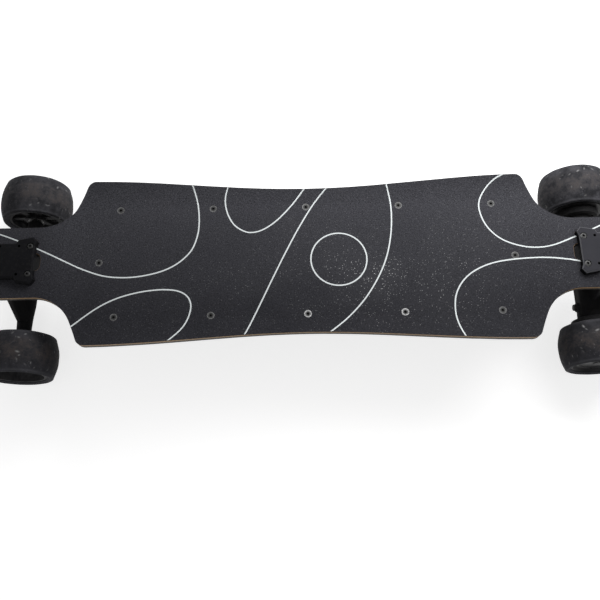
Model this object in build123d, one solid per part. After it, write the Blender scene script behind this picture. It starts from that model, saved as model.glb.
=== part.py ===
from build123d import *
import os
from math import asin, cos, degrees, pi, radians, sin, tan

# Electric skateboard with a drop-through longboard deck, reverse-kingpin trucks and two rear hub motors.
# Frame: the board runs along X with the motors at +X, Y is across, Z is up and the tyres stand on Z = 0.
os.makedirs("parts", exist_ok=True)

# Overall sizes, mm
DECK_LENGTH = 965.0
TRUCK_INSET = 70.0
WHEEL_DIAMETER = 105.0
TYRE_WIDTH = 60.0
TYRE_TRACK = 240.0
AXLE_TO_GRIP = 61.0

# Deck outline and pressing
DECK_THICKNESS = 11.5
GRIP_THICKNESS = 1.0
WAIST_HALF = 107.7
SHOULDER_HALF = 122.2
SHOULDER_INSET = 171.5
SHOULDER_RADIUS = 14.0
CUT_OUT_ANGLE = 65.8
NECK_HALF = 52.4
NECK_RADIUS = 55.0
NOSE_RADIUS = 40.0
FLOOR_HALF = 80.0
RAIL_RADIUS = 93.0
RAIL_SWEEP = 40.0
EDGE_ROUND = 2.5
PLATFORM_DROP = 7.5
DROP_START_MARGIN = 1.5
DROP_END_INSET = 42.5

# Truck mounting in the deck
BOLT_SPACING_X = 54.0
BOLT_SPACING_Y = 41.3
SLOT_LENGTH = 77.0
SLOT_WIDTH = 26.0
SLOT_CORNER = 8.0
SLOT_SHIFT = -0.9
TRUCK_BOLT_DIAMETER = 5.0
TRUCK_BOLT_HEAD_DIAMETER = 9.2
TRUCK_BOLT_HEAD_HEIGHT = 3.0
TRUCK_NUT_FLATS = 8.0
TRUCK_NUT_HEIGHT = 5.0

# Truck geometry: the steering axis leans inboard and down, the kingpin stands square to it
STEER_ANGLE = 50.0
RAKE = 5.0
RING_REACH = 32.0
RING_RADIUS = 18.0
RING_THICKNESS = 12.0
BUSHING_SEAT_DEPTH = 2.0
BUSHING_DIAMETER = 24.0
BUSHING_HEIGHT = 15.0
ROADSIDE_TIP_DIAMETER = 18.0
CUP_WASHER_THICKNESS = 2.0
KINGPIN_DIAMETER = 9.5
KINGPIN_SOCKET_DEPTH = 15.0
KINGPIN_NUT_FLATS = 14.3
KINGPIN_NUT_HEIGHT = 9.0
KINGPIN_THREAD_LEFT = 3.0
RING_BORE_PLAY = 2.2
PIVOT_MOUTH = 14.5
PIVOT_PIN_RADIUS = 5.2
PIVOT_PIN_REACH = 9.5
PIVOT_CUP_WALL = 2.6
PIVOT_CUP_FLOOR = 1.6
PIVOT_TOWER_WALL = 3.0
BASEPLATE_HEIGHT = 10.0
BASEPLATE_BEVEL = 1.8
BASEPLATE_LIP = 6.2
WEDGE_WIDTH = 24.0
WEB_WIDTH = 20.0
WEB_BACK = 30.0

# Hangers and axles
HANGER_CORE_RADIUS = 13.0
FRONT_ARM_RADIUS = 13.5
FRONT_TIP_RADIUS = 10.5
FRONT_ARM_END = 93.0
FRONT_YOKE_CORNERS = [(24.0, 30.0, 10.0), (62.0, 7.0, 8.0)]
REAR_YOKE_CORNERS = [(44.0, 7.0, 10.0)]
REAR_ARM_WIDTH = 36.0
REAR_ARM_HEIGHT = 28.0
REAR_ARM_ROUND = 7.0
REAR_ARM_START = 17.0
REAR_ARM_END = 72.0
REAR_FLANGE_RADIUS = 20.0
AXLE_DIAMETER = 8.0
AXLE_NUT_FLATS = 13.0
AXLE_NUT_HEIGHT = 8.0
AXLE_THREAD_LEFT = 2.0

# Front wheel
BEARING_OUTER_DIAMETER = 22.0
BEARING_WIDTH = 7.0
SPEED_RING_DIAMETER = 10.5
SPEED_RING_THICKNESS = 1.2
SPACER_LENGTH = 10.0
TYRE_BORE_DIAMETER = 76.0
TYRE_CROWN = 5.0
TYRE_LIP = 3.5
TYRE_FACE_RECESS = 2.0
CORE_RIM_THICKNESS = 3.5
CORE_HUB_RADIUS = 14.5
CORE_SPOKES = 6
SPOKE_WIDTH = 8.0

# Hub motor
MOTOR_FLANGE_RADIUS = 31.0
MOTOR_FLANGE_START = 79.0
MOTOR_FLANGE_THICKNESS = 10.0
MOTOR_CAN_START = 91.0
MOTOR_CAN_WALL = 3.5
MOTOR_END_PLATE = 4.0
MOTOR_SHAFT_DIAMETER = 15.0
MOTOR_BEARING_DIAMETER = 28.0
MOTOR_BEARING_WIDTH = 7.0
MOTOR_COVER_THICKNESS = 4.0
MOTOR_COVER_INSET = 7.0
MAGNET_THICKNESS = 3.0
MAGNET_COUNT = 14
AIR_GAP = 0.7
STATOR_LENGTH = 25.0
STATOR_SLOTS = 12
STATOR_YOKE_RADIUS = 17.0

# Battery box under the deck
BOX_INSET = 224.5
BOX_WIDTH = 148.0
BOX_DEPTH = 38.0
BOX_WALL = 3.0
BOX_DRAFT = 6.0
BOX_CORNER = 22.0
GROOVE_INSET = 72.24
FLANGE_RIM = 18.0
FLANGE_SIDE = 16.0
FLANGE_THICKNESS = 3.5
FLANGE_CORNER = 12.0
GASKET_THICKNESS = 1.5
SCREW_COLUMNS = 5
SCREW_EDGE = 9.4
END_SCREW_REACH = 16.5
END_LUG_RADIUS = 11.0
SCREW_DIAMETER = 5.0
SCREW_HEAD_DIAMETER = 10.6
INSERT_DIAMETER = 8.0
INSERT_HEIGHT = 8.0
BOSS_RADIUS = 6.2

# Battery and electronics
CELL_DIAMETER = 18.4
CELL_LENGTH = 65.0
CELL_PITCH = 19.0
CELL_ROW_GAP = 1.0
CELL_GROUP = 3
CELL_INSET = 22.0
CELL_HOLDER_HEIGHT = 9.0
CELL_HOLDER_REACH = 15.0
STRIP_THICKNESS = 0.5
BMS_SIZE = (56.0, 118.0, 9.0)
BMS_INSET = 174.0
CONTROLLER_SIZE = (118.0, 84.0, 20.0)
CONTROLLER_INSET = 72.0
HEAT_SINK_SIZE = (96.0, 66.0)
HEAT_SINK_FINS = 9

# Controls on the left wall of the box
PAD_LENGTH = 74.0
PAD_HEIGHT = 24.0
PAD_INSET = 62.0
PAD_PROUD = 1.5
BUTTON_INSET = 82.0
BUTTON_RADIUS = 6.5
BUTTON_TRAVEL = 1.5
BUTTON_LENGTH = 6.0
SOCKET_INSET = 44.0
SOCKET_BORE_RADIUS = 2.85
SOCKET_PIN_RADIUS = 1.05
SOCKET_DEPTH = 9.5
SOCKET_FACE_RADIUS = 8.5
CAP_THICKNESS = 2.0
CAP_PIN_RADIUS = 0.8

# Cable glands
CABLE_DIAMETER = 7.0
GLAND_LENGTH = 12.0
GLAND_RADIUS = 6.0
CABLE_EXIT_Y = 60.0
BOX_EXIT_Y = 30.0

# Clearances
FIT = 0.05
RUNNING = 0.05
LOOSE = 0.3

# Derived levels and places
axle_z = WHEEL_DIAMETER / 2
grip_z = axle_z + AXLE_TO_GRIP
deck_z = grip_z - GRIP_THICKNESS
under_z = deck_z - DECK_THICKNESS
plate_z = deck_z + PLATFORM_DROP
nut_z = under_z + PLATFORM_DROP
truck_x = DECK_LENGTH / 2 - TRUCK_INSET
shoulder_x = DECK_LENGTH / 2 - SHOULDER_INSET
neck_x = shoulder_x + (SHOULDER_HALF - NECK_HALF) / tan(radians(CUT_OUT_ANGLE))
box_length = DECK_LENGTH - 2 * BOX_INSET
flange_length = box_length + 2 * FLANGE_RIM
flange_width = BOX_WIDTH + 2 * FLANGE_SIDE
screw_pitch = (flange_length - 2 * SCREW_EDGE) / (SCREW_COLUMNS - 1)
screw_row = flange_width / 2 - SCREW_EDGE
end_screw_x = flange_length / 2 + END_SCREW_REACH
drop_start = end_screw_x + END_LUG_RADIUS + DROP_START_MARGIN
drop_end = truck_x - DROP_END_INSET
bms_x = box_length / 2 - BMS_INSET
controller_x = box_length / 2 - CONTROLLER_INSET
pad_x = box_length / 2 - PAD_INSET
button_x = box_length / 2 - BUTTON_INSET
socket_x = box_length / 2 - SOCKET_INSET
lean = radians(STEER_ANGLE)
along_axis = Vector(cos(lean), 0, sin(lean))
along_kingpin = Vector(sin(lean), 0, -cos(lean))
steer_origin = Vector(0, 0, axle_z) - along_kingpin * RAKE
tyre_in = TYRE_TRACK / 2 - TYRE_WIDTH / 2
tyre_out = TYRE_TRACK / 2 + TYRE_WIDTH / 2
bushing_start = RING_THICKNESS / 2 - BUSHING_SEAT_DEPTH
kingpin_seat = bushing_start + BUSHING_HEIGHT + CUP_WASHER_THICKNESS
gasket_z = under_z - GASKET_THICKNESS
flange_z = gasket_z - FLANGE_THICKNESS
box_floor_z = gasket_z - BOX_DEPTH
axle_end = (
    FRONT_ARM_END + 2 * SPEED_RING_THICKNESS + 2 * BEARING_WIDTH + SPACER_LENGTH
    + AXLE_NUT_HEIGHT + AXLE_THREAD_LEFT
)

# Placements: a truck is built about its own centre with +X outboard, then set at either end of the deck
REAR = Pos(truck_x, 0, 0)
FRONT = Pos(-truck_x, 0, 0) * Rot(0, 0, 180)
TURN = Rot(0, 0, 180)
AXLE = Pos(0, 0, axle_z)
LIE = Rot(-90, 0, 0)
# In the steering frame X is across, Y runs up the steering axis and Z runs out along the kingpin
STEER = Location(Plane(origin=steer_origin, x_dir=(0, 1, 0), z_dir=along_kingpin))
KINGPIN = STEER * Pos(0, RING_REACH, 0)


def save(name, *solids):
    """Write one node: a single solid, or a group of like pieces."""
    shape = solids[0] if len(solids) == 1 else Compound(children=list(solids))
    export_step(shape, f"parts/{name}.step")


def turned(points):
    """A ring or shaft turned about Y from its half profile of (radius, y) points."""
    return revolve(make_face(Polyline(*points, close=True)), Axis.Y)


def tube(outer, inner, start, end):
    """A plain bush about Y between two stations."""
    return turned([(inner, start), (outer, start), (outer, end), (inner, end)])


def rod(radius, start, end):
    """A round bar about Z between two heights."""
    return Pos(0, 0, start) * Cylinder(radius, end - start, align=(Align.CENTER, Align.CENTER, Align.MIN))


def block(x0, x1, y0, y1, z0, z1):
    """A box given by its faces."""
    return Pos(x0, y0, z0) * Box(x1 - x0, y1 - y0, z1 - z0, align=(Align.MIN, Align.MIN, Align.MIN))


def hexagon(flats, height):
    """A hexagonal prism standing on Z = 0."""
    return extrude(RegularPolygon(flats / 2, 6, major_radius=False), height)


# ---------------------------------------------------------------- deck
def deck_outline(height):
    """The routed blank: cosine waist, round shoulders, slanted wheel cut-outs and rounded nose and tail."""
    stations = [-1 + i / 4 for i in range(9)]
    waist = [
        (shoulder_x * s, WAIST_HALF + (SHOULDER_HALF - WAIST_HALF) * (1 - cos(pi * s)) / 2)
        for s in stations
    ]
    right = [(shoulder_x, SHOULDER_HALF), (neck_x, NECK_HALF), (DECK_LENGTH / 2, NECK_HALF)]
    right += [(x, -y) for x, y in reversed(right)]
    edges = Spline(*waist, tangents=[(1, 0), (1, 0)])
    edges += Polyline(*right)
    edges += Spline(*[(x, -y) for x, y in waist], tangents=[(1, 0), (1, 0)])
    edges += Polyline(*[(-x, y) for x, y in right])
    blank = extrude(make_face(edges), height)
    upright = blank.edges().filter_by(Axis.Z)
    blank = fillet(upright.filter_by(lambda e: abs(abs(e.center().X) - neck_x) < 1), NECK_RADIUS)
    upright = blank.edges().filter_by(Axis.Z)
    shoulders = upright.filter_by(
        lambda e: abs(abs(e.center().X) - shoulder_x) < 1 and abs(e.center().Y) > NECK_HALF + 1
    )
    blank = fillet(shoulders, SHOULDER_RADIUS)
    upright = blank.edges().filter_by(Axis.Z)
    return fillet(upright.filter_by(lambda e: abs(e.center().X) > DECK_LENGTH / 2 - 1), NOSE_RADIUS)


def platform_line():
    """Side view of the grip: a level platform, then an S-bend of two arcs up to the neck at either end."""
    run = drop_end - drop_start
    radius = (run ** 2 + PLATFORM_DROP ** 2) / (4 * PLATFORM_DROP)
    turn = asin(run / (2 * radius))
    arc = [(radius * sin(turn * i / 2), radius * (1 - cos(turn * i / 2))) for i in range(3)]
    rise = [(drop_start + x, z) for x, z in arc]
    crest = [(drop_end - x, PLATFORM_DROP - z) for x, z in reversed(arc)]
    end = (DECK_LENGTH / 2 + 10, PLATFORM_DROP)
    right = [ThreePointArc(*rise), ThreePointArc(*crest), Line(crest[-1], end)]
    left = [edge.mirror(Plane.YZ) for edge in reversed(right)]
    edges = left + [Line((-drop_start, 0), (drop_start, 0))] + right
    return Pos(0, 0, grip_z) * (Plane.XZ * Wire(edges))


def dished_band(low, high):
    """A slab between two depths under the grip, flat across the middle with raised rails."""
    def place(depth, angle):
        reach = (RAIL_RADIUS + depth) * sin(radians(angle))
        rise = RAIL_RADIUS - (RAIL_RADIUS + depth) * cos(radians(angle))
        return reach, grip_z + rise

    edges = []
    for depth in (low, high):
        right = [place(depth, RAIL_SWEEP * i / 2) for i in range(3)]
        for side in (1, -1):
            edges.append(ThreePointArc(*[(side * (FLOOR_HALF + y), z) for y, z in right]))
        z = grip_z - depth
        edges.append(Line((-FLOOR_HALF, z), (FLOOR_HALF, z)))
    for side in (1, -1):
        ends = [place(depth, RAIL_SWEEP) for depth in (low, high)]
        edges.append(Line(*[(side * (FLOOR_HALF + y), z) for y, z in ends]))
    profile = Pos(-DECK_LENGTH / 2 - 10, 0, PLATFORM_DROP) * (Plane.YZ * make_face(edges))
    return sweep(profile, path=platform_line())


def deck_screw_places():
    """Two rows of screws along the box and one at each end of it."""
    middle = (SCREW_COLUMNS - 1) / 2
    columns = [(i - middle) * screw_pitch for i in range(SCREW_COLUMNS)]
    rows = [(x, side * screw_row) for x in columns for side in (1, -1)]
    return rows + [(end_screw_x, 0), (-end_screw_x, 0)]


def truck_bolt_places():
    """The four bolts of a truck about its own centre."""
    return [(i * BOLT_SPACING_X / 2, j * BOLT_SPACING_Y / 2) for i in (1, -1) for j in (1, -1)]


def countersunk(radius, head_radius, top, bottom, grow=0.0):
    """A flat-head screw standing on its point, turned about Z; grow makes the hole for it."""
    r = radius + grow
    h = head_radius + grow
    points = [(0, bottom), (r, bottom), (r, top - (h - r)), (h, top), (0, top)]
    return revolve(make_face(Plane.XZ * Polyline(*points, close=True)), Axis.Z)


def screw_holes():
    """Countersunk holes for the box screws through grip and deck."""
    hole = countersunk(SCREW_DIAMETER / 2, SCREW_HEAD_DIAMETER / 2, grip_z, under_z - 20, 0.15)
    relief = rod(SCREW_HEAD_DIAMETER / 2 + 0.15, grip_z, grip_z + 2)
    return [Pos(x, y, 0) * part for x, y in deck_screw_places() for part in (hole, relief)]


def drop_through_slot(place, grow=0.0):
    """The long slot that the truck drops through."""
    outline = RectangleRounded(SLOT_LENGTH + 2 * grow, SLOT_WIDTH + 2 * grow, SLOT_CORNER + grow)
    return place * Pos(SLOT_SHIFT, 0, 0) * extrude(outline, grip_z + 30)


def make_deck():
    """Pressed maple deck with truck slots, bolt holes and countersinks."""
    lower_edge = GRIP_THICKNESS + DECK_THICKNESS
    deck = dished_band(lower_edge, GRIP_THICKNESS) & Pos(0, 0, under_z - 20) * deck_outline(80)
    deck = fillet(lower_rim(deck), EDGE_ROUND) if EDGE_ROUND > 0 else deck
    for place in (FRONT, REAR):
        deck -= drop_through_slot(place)
        for x, y in truck_bolt_places():
            hole = rod(TRUCK_BOLT_DIAMETER / 2 + LOOSE / 2, nut_z - 5, plate_z + 5)
            deck -= place * Pos(x, y, 0) * hole
    for hole in screw_holes():
        deck -= hole
    return deck


def lower_rim(deck):
    """The edges that run round the underside, each on one underside face only."""
    under = [face for face in deck.faces() if face.normal_at().Z < -0.5]
    edges = [edge for face in under for edge in face.edges()]
    return [edge for edge in edges if sum(edge.is_same(other) for other in edges) == 1]


def make_grip():
    """Grip sheet over the whole deck, cut back round the baseplates and the slots."""
    grip = dished_band(GRIP_THICKNESS, 0) & Pos(0, 0, under_z - 20) * deck_outline(80)
    for place in (FRONT, REAR):
        grip -= drop_through_slot(place, 0.8)
        window = offset(baseplate_outline(), LOOSE)
        grip -= place * Pos(0, 0, plate_z - 5) * extrude(window, 20)
    for hole in screw_holes():
        grip -= hole
    return grip


def make_deck_screws():
    """Flat-head socket screws that hold the battery box under the deck."""
    screw = countersunk(
        SCREW_DIAMETER / 2, SCREW_HEAD_DIAMETER / 2, grip_z - 0.1, flange_z - INSERT_HEIGHT
    )
    screw -= Pos(0, 0, grip_z - 0.1 - SCREW_DIAMETER * 0.55) * hexagon(SCREW_DIAMETER * 0.6, 5)
    return [Pos(x, y, 0) * screw for x, y in deck_screw_places()]


# ---------------------------------------------------------------- battery box
def flange_outline():
    """The box flange: a rounded rectangle with a tapering lug at each end for the end screws."""
    plate = RectangleRounded(flange_length, flange_width, FLANGE_CORNER)
    for side in (1, -1):
        lug = Pos(side * end_screw_x, 0) * Circle(END_LUG_RADIUS)
        root = Pos(side * (flange_length / 2 - 12), 0) * RectangleRounded(20, 6 * END_LUG_RADIUS, 4)
        plate += make_hull(lug.edges() + root.edges())
    return plate


def box_block(inset, depth):
    """The drafted tub, or its hollow when inset by the wall."""
    outline = RectangleRounded(box_length - 2 * inset, BOX_WIDTH - 2 * inset, BOX_CORNER - inset)
    return Pos(0, 0, gasket_z) * extrude(outline, -depth, taper=BOX_DRAFT)


def heat_sink_window(grow=0.0):
    """The opening in the box floor that the heat sink fills."""
    length, width = HEAT_SINK_SIZE
    outline = RectangleRounded(length + 2 * grow, width + 2 * grow, 5 + grow)
    return Pos(controller_x, 0, box_floor_z - 10) * extrude(outline, 10 + BOX_WALL)


def make_box():
    """Moulded battery box: drafted tub, flange, screw bosses, control pad and floor ribs."""
    tub = box_block(0, BOX_DEPTH)
    floor = tub.edges().filter_by(lambda e: abs(e.center().Z - box_floor_z) < 0.01)
    tub = fillet(floor, 5)
    pad_face = -(BOX_WIDTH / 2 + PAD_PROUD)
    pad_top = flange_z
    pad = block(
        pad_x - PAD_LENGTH / 2, pad_x + PAD_LENGTH / 2, pad_face, -BOX_WIDTH / 2 + 8,
        pad_top - PAD_HEIGHT, pad_top,
    )
    tub += pad
    tub += Pos(0, 0, flange_z) * extrude(flange_outline(), FLANGE_THICKNESS)
    for x, y in deck_screw_places():
        tub += Pos(x, y, 0) * rod(BOSS_RADIUS, flange_z - INSERT_HEIGHT - 1.5, flange_z)
    tub -= box_block(BOX_WALL, BOX_DEPTH - BOX_WALL)
    for x, y in deck_screw_places():
        tub -= Pos(x, y, 0) * rod(INSERT_DIAMETER / 2 + FIT, flange_z - INSERT_HEIGHT, flange_z)
        tub -= Pos(x, y, 0) * rod(SCREW_DIAMETER / 2 + LOOSE / 2, flange_z - 1, gasket_z + 1)
    tub -= heat_sink_window()
    for y in (-48, 48):
        groove = RectangleRounded(box_length - 2 * GROOVE_INSET, 5, 2.4)
        tub -= Pos(0, y, box_floor_z) * extrude(groove, 1.2)
    tub -= control_hole(button_x, BUTTON_RADIUS + 2 + FIT)
    tub -= control_hole(socket_x, SOCKET_FACE_RADIUS - 2.5 + FIT)
    for y in (BOX_EXIT_Y, -BOX_EXIT_Y):
        tub -= Pos(box_length / 2 - 15, y, cable_z) * Rot(0, 90, 0) * rod(GLAND_RADIUS - 1.5 + FIT, 0, 30)
    return tub


def control_hole(x, radius):
    """A round hole through the control pad, along Y."""
    return Pos(x, 0, control_z) * LIE * rod(radius, -BOX_WIDTH / 2 - 5, -BOX_WIDTH / 2 + 12)


def make_gasket():
    """Foam gasket between the deck and the box flange."""
    gasket = extrude(flange_outline(), GASKET_THICKNESS)
    opening = RectangleRounded(box_length - 2 * BOX_WALL, BOX_WIDTH - 2 * BOX_WALL, BOX_CORNER - BOX_WALL)
    gasket -= extrude(opening, GASKET_THICKNESS)
    for x, y in deck_screw_places():
        gasket -= Pos(x, y, 0) * rod(SCREW_DIAMETER / 2 + LOOSE / 2, -1, GASKET_THICKNESS + 1)
    return Pos(0, 0, gasket_z) * gasket


def make_inserts():
    """Threaded brass inserts moulded in the bosses."""
    insert = tube(INSERT_DIAMETER / 2, SCREW_DIAMETER / 2 + FIT, 0, INSERT_HEIGHT - 1.2)
    insert = Rot(90, 0, 0) * insert
    return [Pos(x, y, flange_z - INSERT_HEIGHT + 0.1) * insert for x, y in deck_screw_places()]


control_z = flange_z - PAD_HEIGHT / 2
cable_z = flange_z - 16


# ---------------------------------------------------------------- battery and electronics
def cell_rows():
    """Where the long rows of cells lie, as many as the drafted box has room for between its walls."""
    room = BOX_WIDTH - 2 * BOX_WALL - 2 * BOX_DEPTH * tan(radians(BOX_DRAFT))
    pitch = CELL_LENGTH + CELL_ROW_GAP
    count = int((room + CELL_ROW_GAP) / pitch)
    return [((count - 1) / 2 - row) * pitch for row in range(count)]


def cell_columns():
    """Where the cells stand along the box: whole groups, from the front wall to the board."""
    first = -box_length / 2 + CELL_INSET
    room = bms_x - BMS_SIZE[0] / 2 - (first - CELL_PITCH / 2)
    count = CELL_GROUP * int(room / (CELL_GROUP * CELL_PITCH))
    return [first + i * CELL_PITCH for i in range(count)]


def cell_places():
    """Centres of the cells, which lie across the box."""
    return [(x, y) for x in cell_columns() for y in cell_rows()]


cell_z = box_floor_z + BOX_WALL + 3 + CELL_DIAMETER / 2


def make_cells():
    """Round lithium cells with a raised positive end."""
    radius = CELL_DIAMETER / 2
    half = CELL_LENGTH / 2
    cell = turned([
        (0, -half), (radius - 0.8, -half), (radius, -half + 0.8), (radius, half - 1.8),
        (radius - 0.8, half - 1), (3, half - 1), (3, half), (0, half),
    ])
    return [Pos(x, y, cell_z) * (cell if (i // len(cell_rows())) % 2 else TURN * cell)
            for i, (x, y) in enumerate(cell_places())]


def make_cell_holders():
    """Scalloped bars that carry the cells off the box floor."""
    columns = cell_columns()
    start = columns[0] - CELL_PITCH / 2
    end = columns[-1] + CELL_PITCH / 2
    floor = box_floor_z + BOX_WALL
    bars = []
    for y in sorted(row + side * CELL_HOLDER_REACH for row in cell_rows() for side in (1, -1)):
        bar = block(start, end, y - 3, y + 3, floor, floor + CELL_HOLDER_HEIGHT)
        for x in columns:
            bar -= Pos(x, y - 4, cell_z) * LIE * rod(CELL_DIAMETER / 2 + FIT, 0, 8)
        bars.append(bar)
    return bars


def make_nickel_strips():
    """Welded strips that join the cells group by group along both outer ends."""
    outer = cell_rows()[0] + CELL_LENGTH / 2 + FIT
    columns = cell_columns()
    strips = []
    for side in (1, -1):
        for first in columns[::CELL_GROUP]:
            x = first + (CELL_GROUP - 1) / 2 * CELL_PITCH
            length = CELL_GROUP * CELL_PITCH - 3
            strip = block(x - length / 2, x + length / 2, 0, STRIP_THICKNESS, cell_z - 4, cell_z + 4)
            strips.append(Pos(0, outer if side > 0 else -outer - STRIP_THICKNESS, 0) * strip)
    return strips


def make_bms():
    """Battery management board with its chips and balance connector, standing on the floor."""
    length, width, height = BMS_SIZE
    z = box_floor_z + BOX_WALL
    board = block(-length / 2, length / 2, -width / 2, width / 2, z, z + 2)
    for i in range(5):
        y = -width / 2 + 16 + i * (width - 32) / 4
        board += block(-8, 8, y - 5, y + 5, z + 2, z + height * 0.6)
    board += block(length / 2 - 12, length / 2 - 4, -24, 24, z + 2, z + height)
    return Pos(bms_x, 0, 0) * board


def make_controller():
    """Twin motor controller in a finned case, standing on the heat sink."""
    length, width, height = CONTROLLER_SIZE
    z = box_floor_z + BOX_WALL
    case = block(-length / 2, length / 2, -width / 2, width / 2, z, z + height)
    case = fillet(case.edges().filter_by(Axis.Z), 4)
    for i in range(7):
        y = -width / 2 + 12 + i * (width - 24) / 6
        case -= block(-length / 2 + 8, length / 2 - 8, y - 1.5, y + 1.5, z + height - 4, z + height)
    return Pos(controller_x, 0, 0) * case


def make_heat_sink():
    """Finned aluminium plate that fills the window in the box floor."""
    length, width = HEAT_SINK_SIZE
    outline = RectangleRounded(length - 2 * FIT, width - 2 * FIT, 5)
    plate = Pos(0, 0, box_floor_z) * extrude(outline, BOX_WALL)
    pitch = (width - 14) / (HEAT_SINK_FINS - 1)
    for i in range(HEAT_SINK_FINS):
        y = (i - (HEAT_SINK_FINS - 1) / 2) * pitch
        plate += block(-length / 2 + 6, length / 2 - 6, y - 1.2, y + 1.2, box_floor_z - 4, box_floor_z + 1)
    return Pos(controller_x, 0, 0) * plate


# ---------------------------------------------------------------- controls
pad_y = -(BOX_WIDTH / 2 + PAD_PROUD)


def make_bezel():
    """Metal ring and barrel that hold the power button; the barrel's back is closed."""
    back = BUTTON_LENGTH + BUTTON_TRAVEL + LOOSE
    bore = BUTTON_RADIUS + RUNNING
    points = [
        (0, back), (bore, back), (bore, -1.6), (bore + 3.4, -1.6), (bore + 4, -1), (bore + 4, 0),
        (BUTTON_RADIUS + 2, 0), (BUTTON_RADIUS + 2, back + 1.5), (0, back + 1.5),
    ]
    return Pos(button_x, pad_y, control_z) * turned(points)


def make_button():
    """Domed push button, proud of its bezel by a little more than its travel."""
    face = -1.6 - BUTTON_TRAVEL
    radius = BUTTON_RADIUS
    points = [
        (0, BUTTON_LENGTH - 1.6), (radius, BUTTON_LENGTH - 1.6), (radius, face + 0.6),
        (radius - 0.6, face), (radius * 0.6, face), (radius * 0.55, face + 0.3), (0, face + 0.4),
    ]
    return Pos(button_x, pad_y, control_z) * turned(points)


def make_charge_socket():
    """Round charging jack with its centre pin, and ears that hold the cap's pin."""
    face = SOCKET_FACE_RADIUS
    barrel = face - 2.5
    deep = SOCKET_DEPTH - 1.5
    points = [
        (0, deep + 2), (0, 0.5), (SOCKET_PIN_RADIUS - 0.4, 0.5), (SOCKET_PIN_RADIUS, 1),
        (SOCKET_PIN_RADIUS, deep), (SOCKET_BORE_RADIUS, deep), (SOCKET_BORE_RADIUS, -1.5),
        (face - 0.5, -1.5), (face, -1), (face, 0), (barrel, 0), (barrel, deep + 2),
    ]
    socket = turned(points)
    for z in (-4.5, 3):
        socket += block(face + 0.6, cap_pin_x + 1.6, cap_pin_y - 1.6, 0, z, z + 1.5)
        socket += block(face - 1.5, face + 1, -1.5, 0, z, z + 1.5)
    socket += Pos(cap_pin_x, cap_pin_y, -4.5) * rod(CAP_PIN_RADIUS, 0, 9)
    return Pos(socket_x, pad_y, control_z) * socket


cap_pin_x = SOCKET_FACE_RADIUS + 2.2
cap_pin_y = -1.5 - LOOSE - CAP_THICKNESS / 2


def make_cap():
    """Rubber dust cap that swings sideways off the charging jack."""
    face = -1.5 - LOOSE
    cap = turned([
        (0, face), (SOCKET_FACE_RADIUS, face), (SOCKET_FACE_RADIUS, face - CAP_THICKNESS + 0.6),
        (SOCKET_FACE_RADIUS - 0.6, face - CAP_THICKNESS), (0, face - CAP_THICKNESS),
    ])
    cap += block(0, cap_pin_x, face - CAP_THICKNESS, face, -2.4, 2.4)
    cap += Pos(cap_pin_x, cap_pin_y, -2.4) * rod(CAP_PIN_RADIUS + 0.9, 0, 4.8)
    cap += block(-SOCKET_FACE_RADIUS - 1.5, -SOCKET_FACE_RADIUS + 2, face - CAP_THICKNESS, face, -3, 3)
    cap -= Pos(cap_pin_x, cap_pin_y, -3) * rod(CAP_PIN_RADIUS + RUNNING, 0, 6)
    return Pos(socket_x, pad_y, control_z) * cap


# ---------------------------------------------------------------- trucks
def steer_place(along, out):
    """Side-view point of a truck, from its distances along the steering axis and out along the kingpin."""
    point = steer_origin + along_axis * along + along_kingpin * out
    return point.X, point.Z


pin_tip = -(PIVOT_MOUTH + PIVOT_PIN_REACH)
cup_radius = PIVOT_PIN_RADIUS + 0.8 + PIVOT_CUP_WALL
tower_radius = cup_radius + PIVOT_TOWER_WALL
tower_end = pin_tip - RUNNING - PIVOT_CUP_FLOOR - PIVOT_TOWER_WALL


def baseplate_outline():
    """Plan of the baseplate: a waisted body with an eight-cornered ear bar across its inboard end."""
    inner = -BOLT_SPACING_X / 2 - BASEPLATE_LIP
    ear = BOLT_SPACING_Y / 2
    half = [
        (inner, 0), (inner, ear + 0.9), (inner - 2.4, ear + 7.5), (inner + 3, ear + 14.2),
        (inner + 23.8, ear + 10.2), (inner + 26.5, ear + 4.9), (BOLT_SPACING_X / 2 + 8, ear + 4.9),
        (BOLT_SPACING_X / 2 + 12, ear - 3), (BOLT_SPACING_X / 2 + 12, 0),
    ]
    points = half + [(x, -y) for x, y in reversed(half[1:-1])]
    return make_face(Polyline(*points, close=True))


def pivot_pin(grow=0.0):
    """The hanger's pivot pin: a tapered post with a round tip, turned about the steering axis."""
    radius = PIVOT_PIN_RADIUS + grow
    tip = pin_tip - grow
    shoulder = tip + radius
    root = radius + 0.8
    edges = [
        Line((0, tip), (0, -5)),
        Line((0, -5), (root, -5)),
        Line((root, -5), (root, -PIVOT_MOUTH)),
        Line((root, -PIVOT_MOUTH), (radius, shoulder)),
        ThreePointArc(
            (radius, shoulder), (radius * sin(pi / 4), shoulder - radius * cos(pi / 4)), (0, tip)
        ),
    ]
    return revolve(make_face(edges), Axis.Y)


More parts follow.
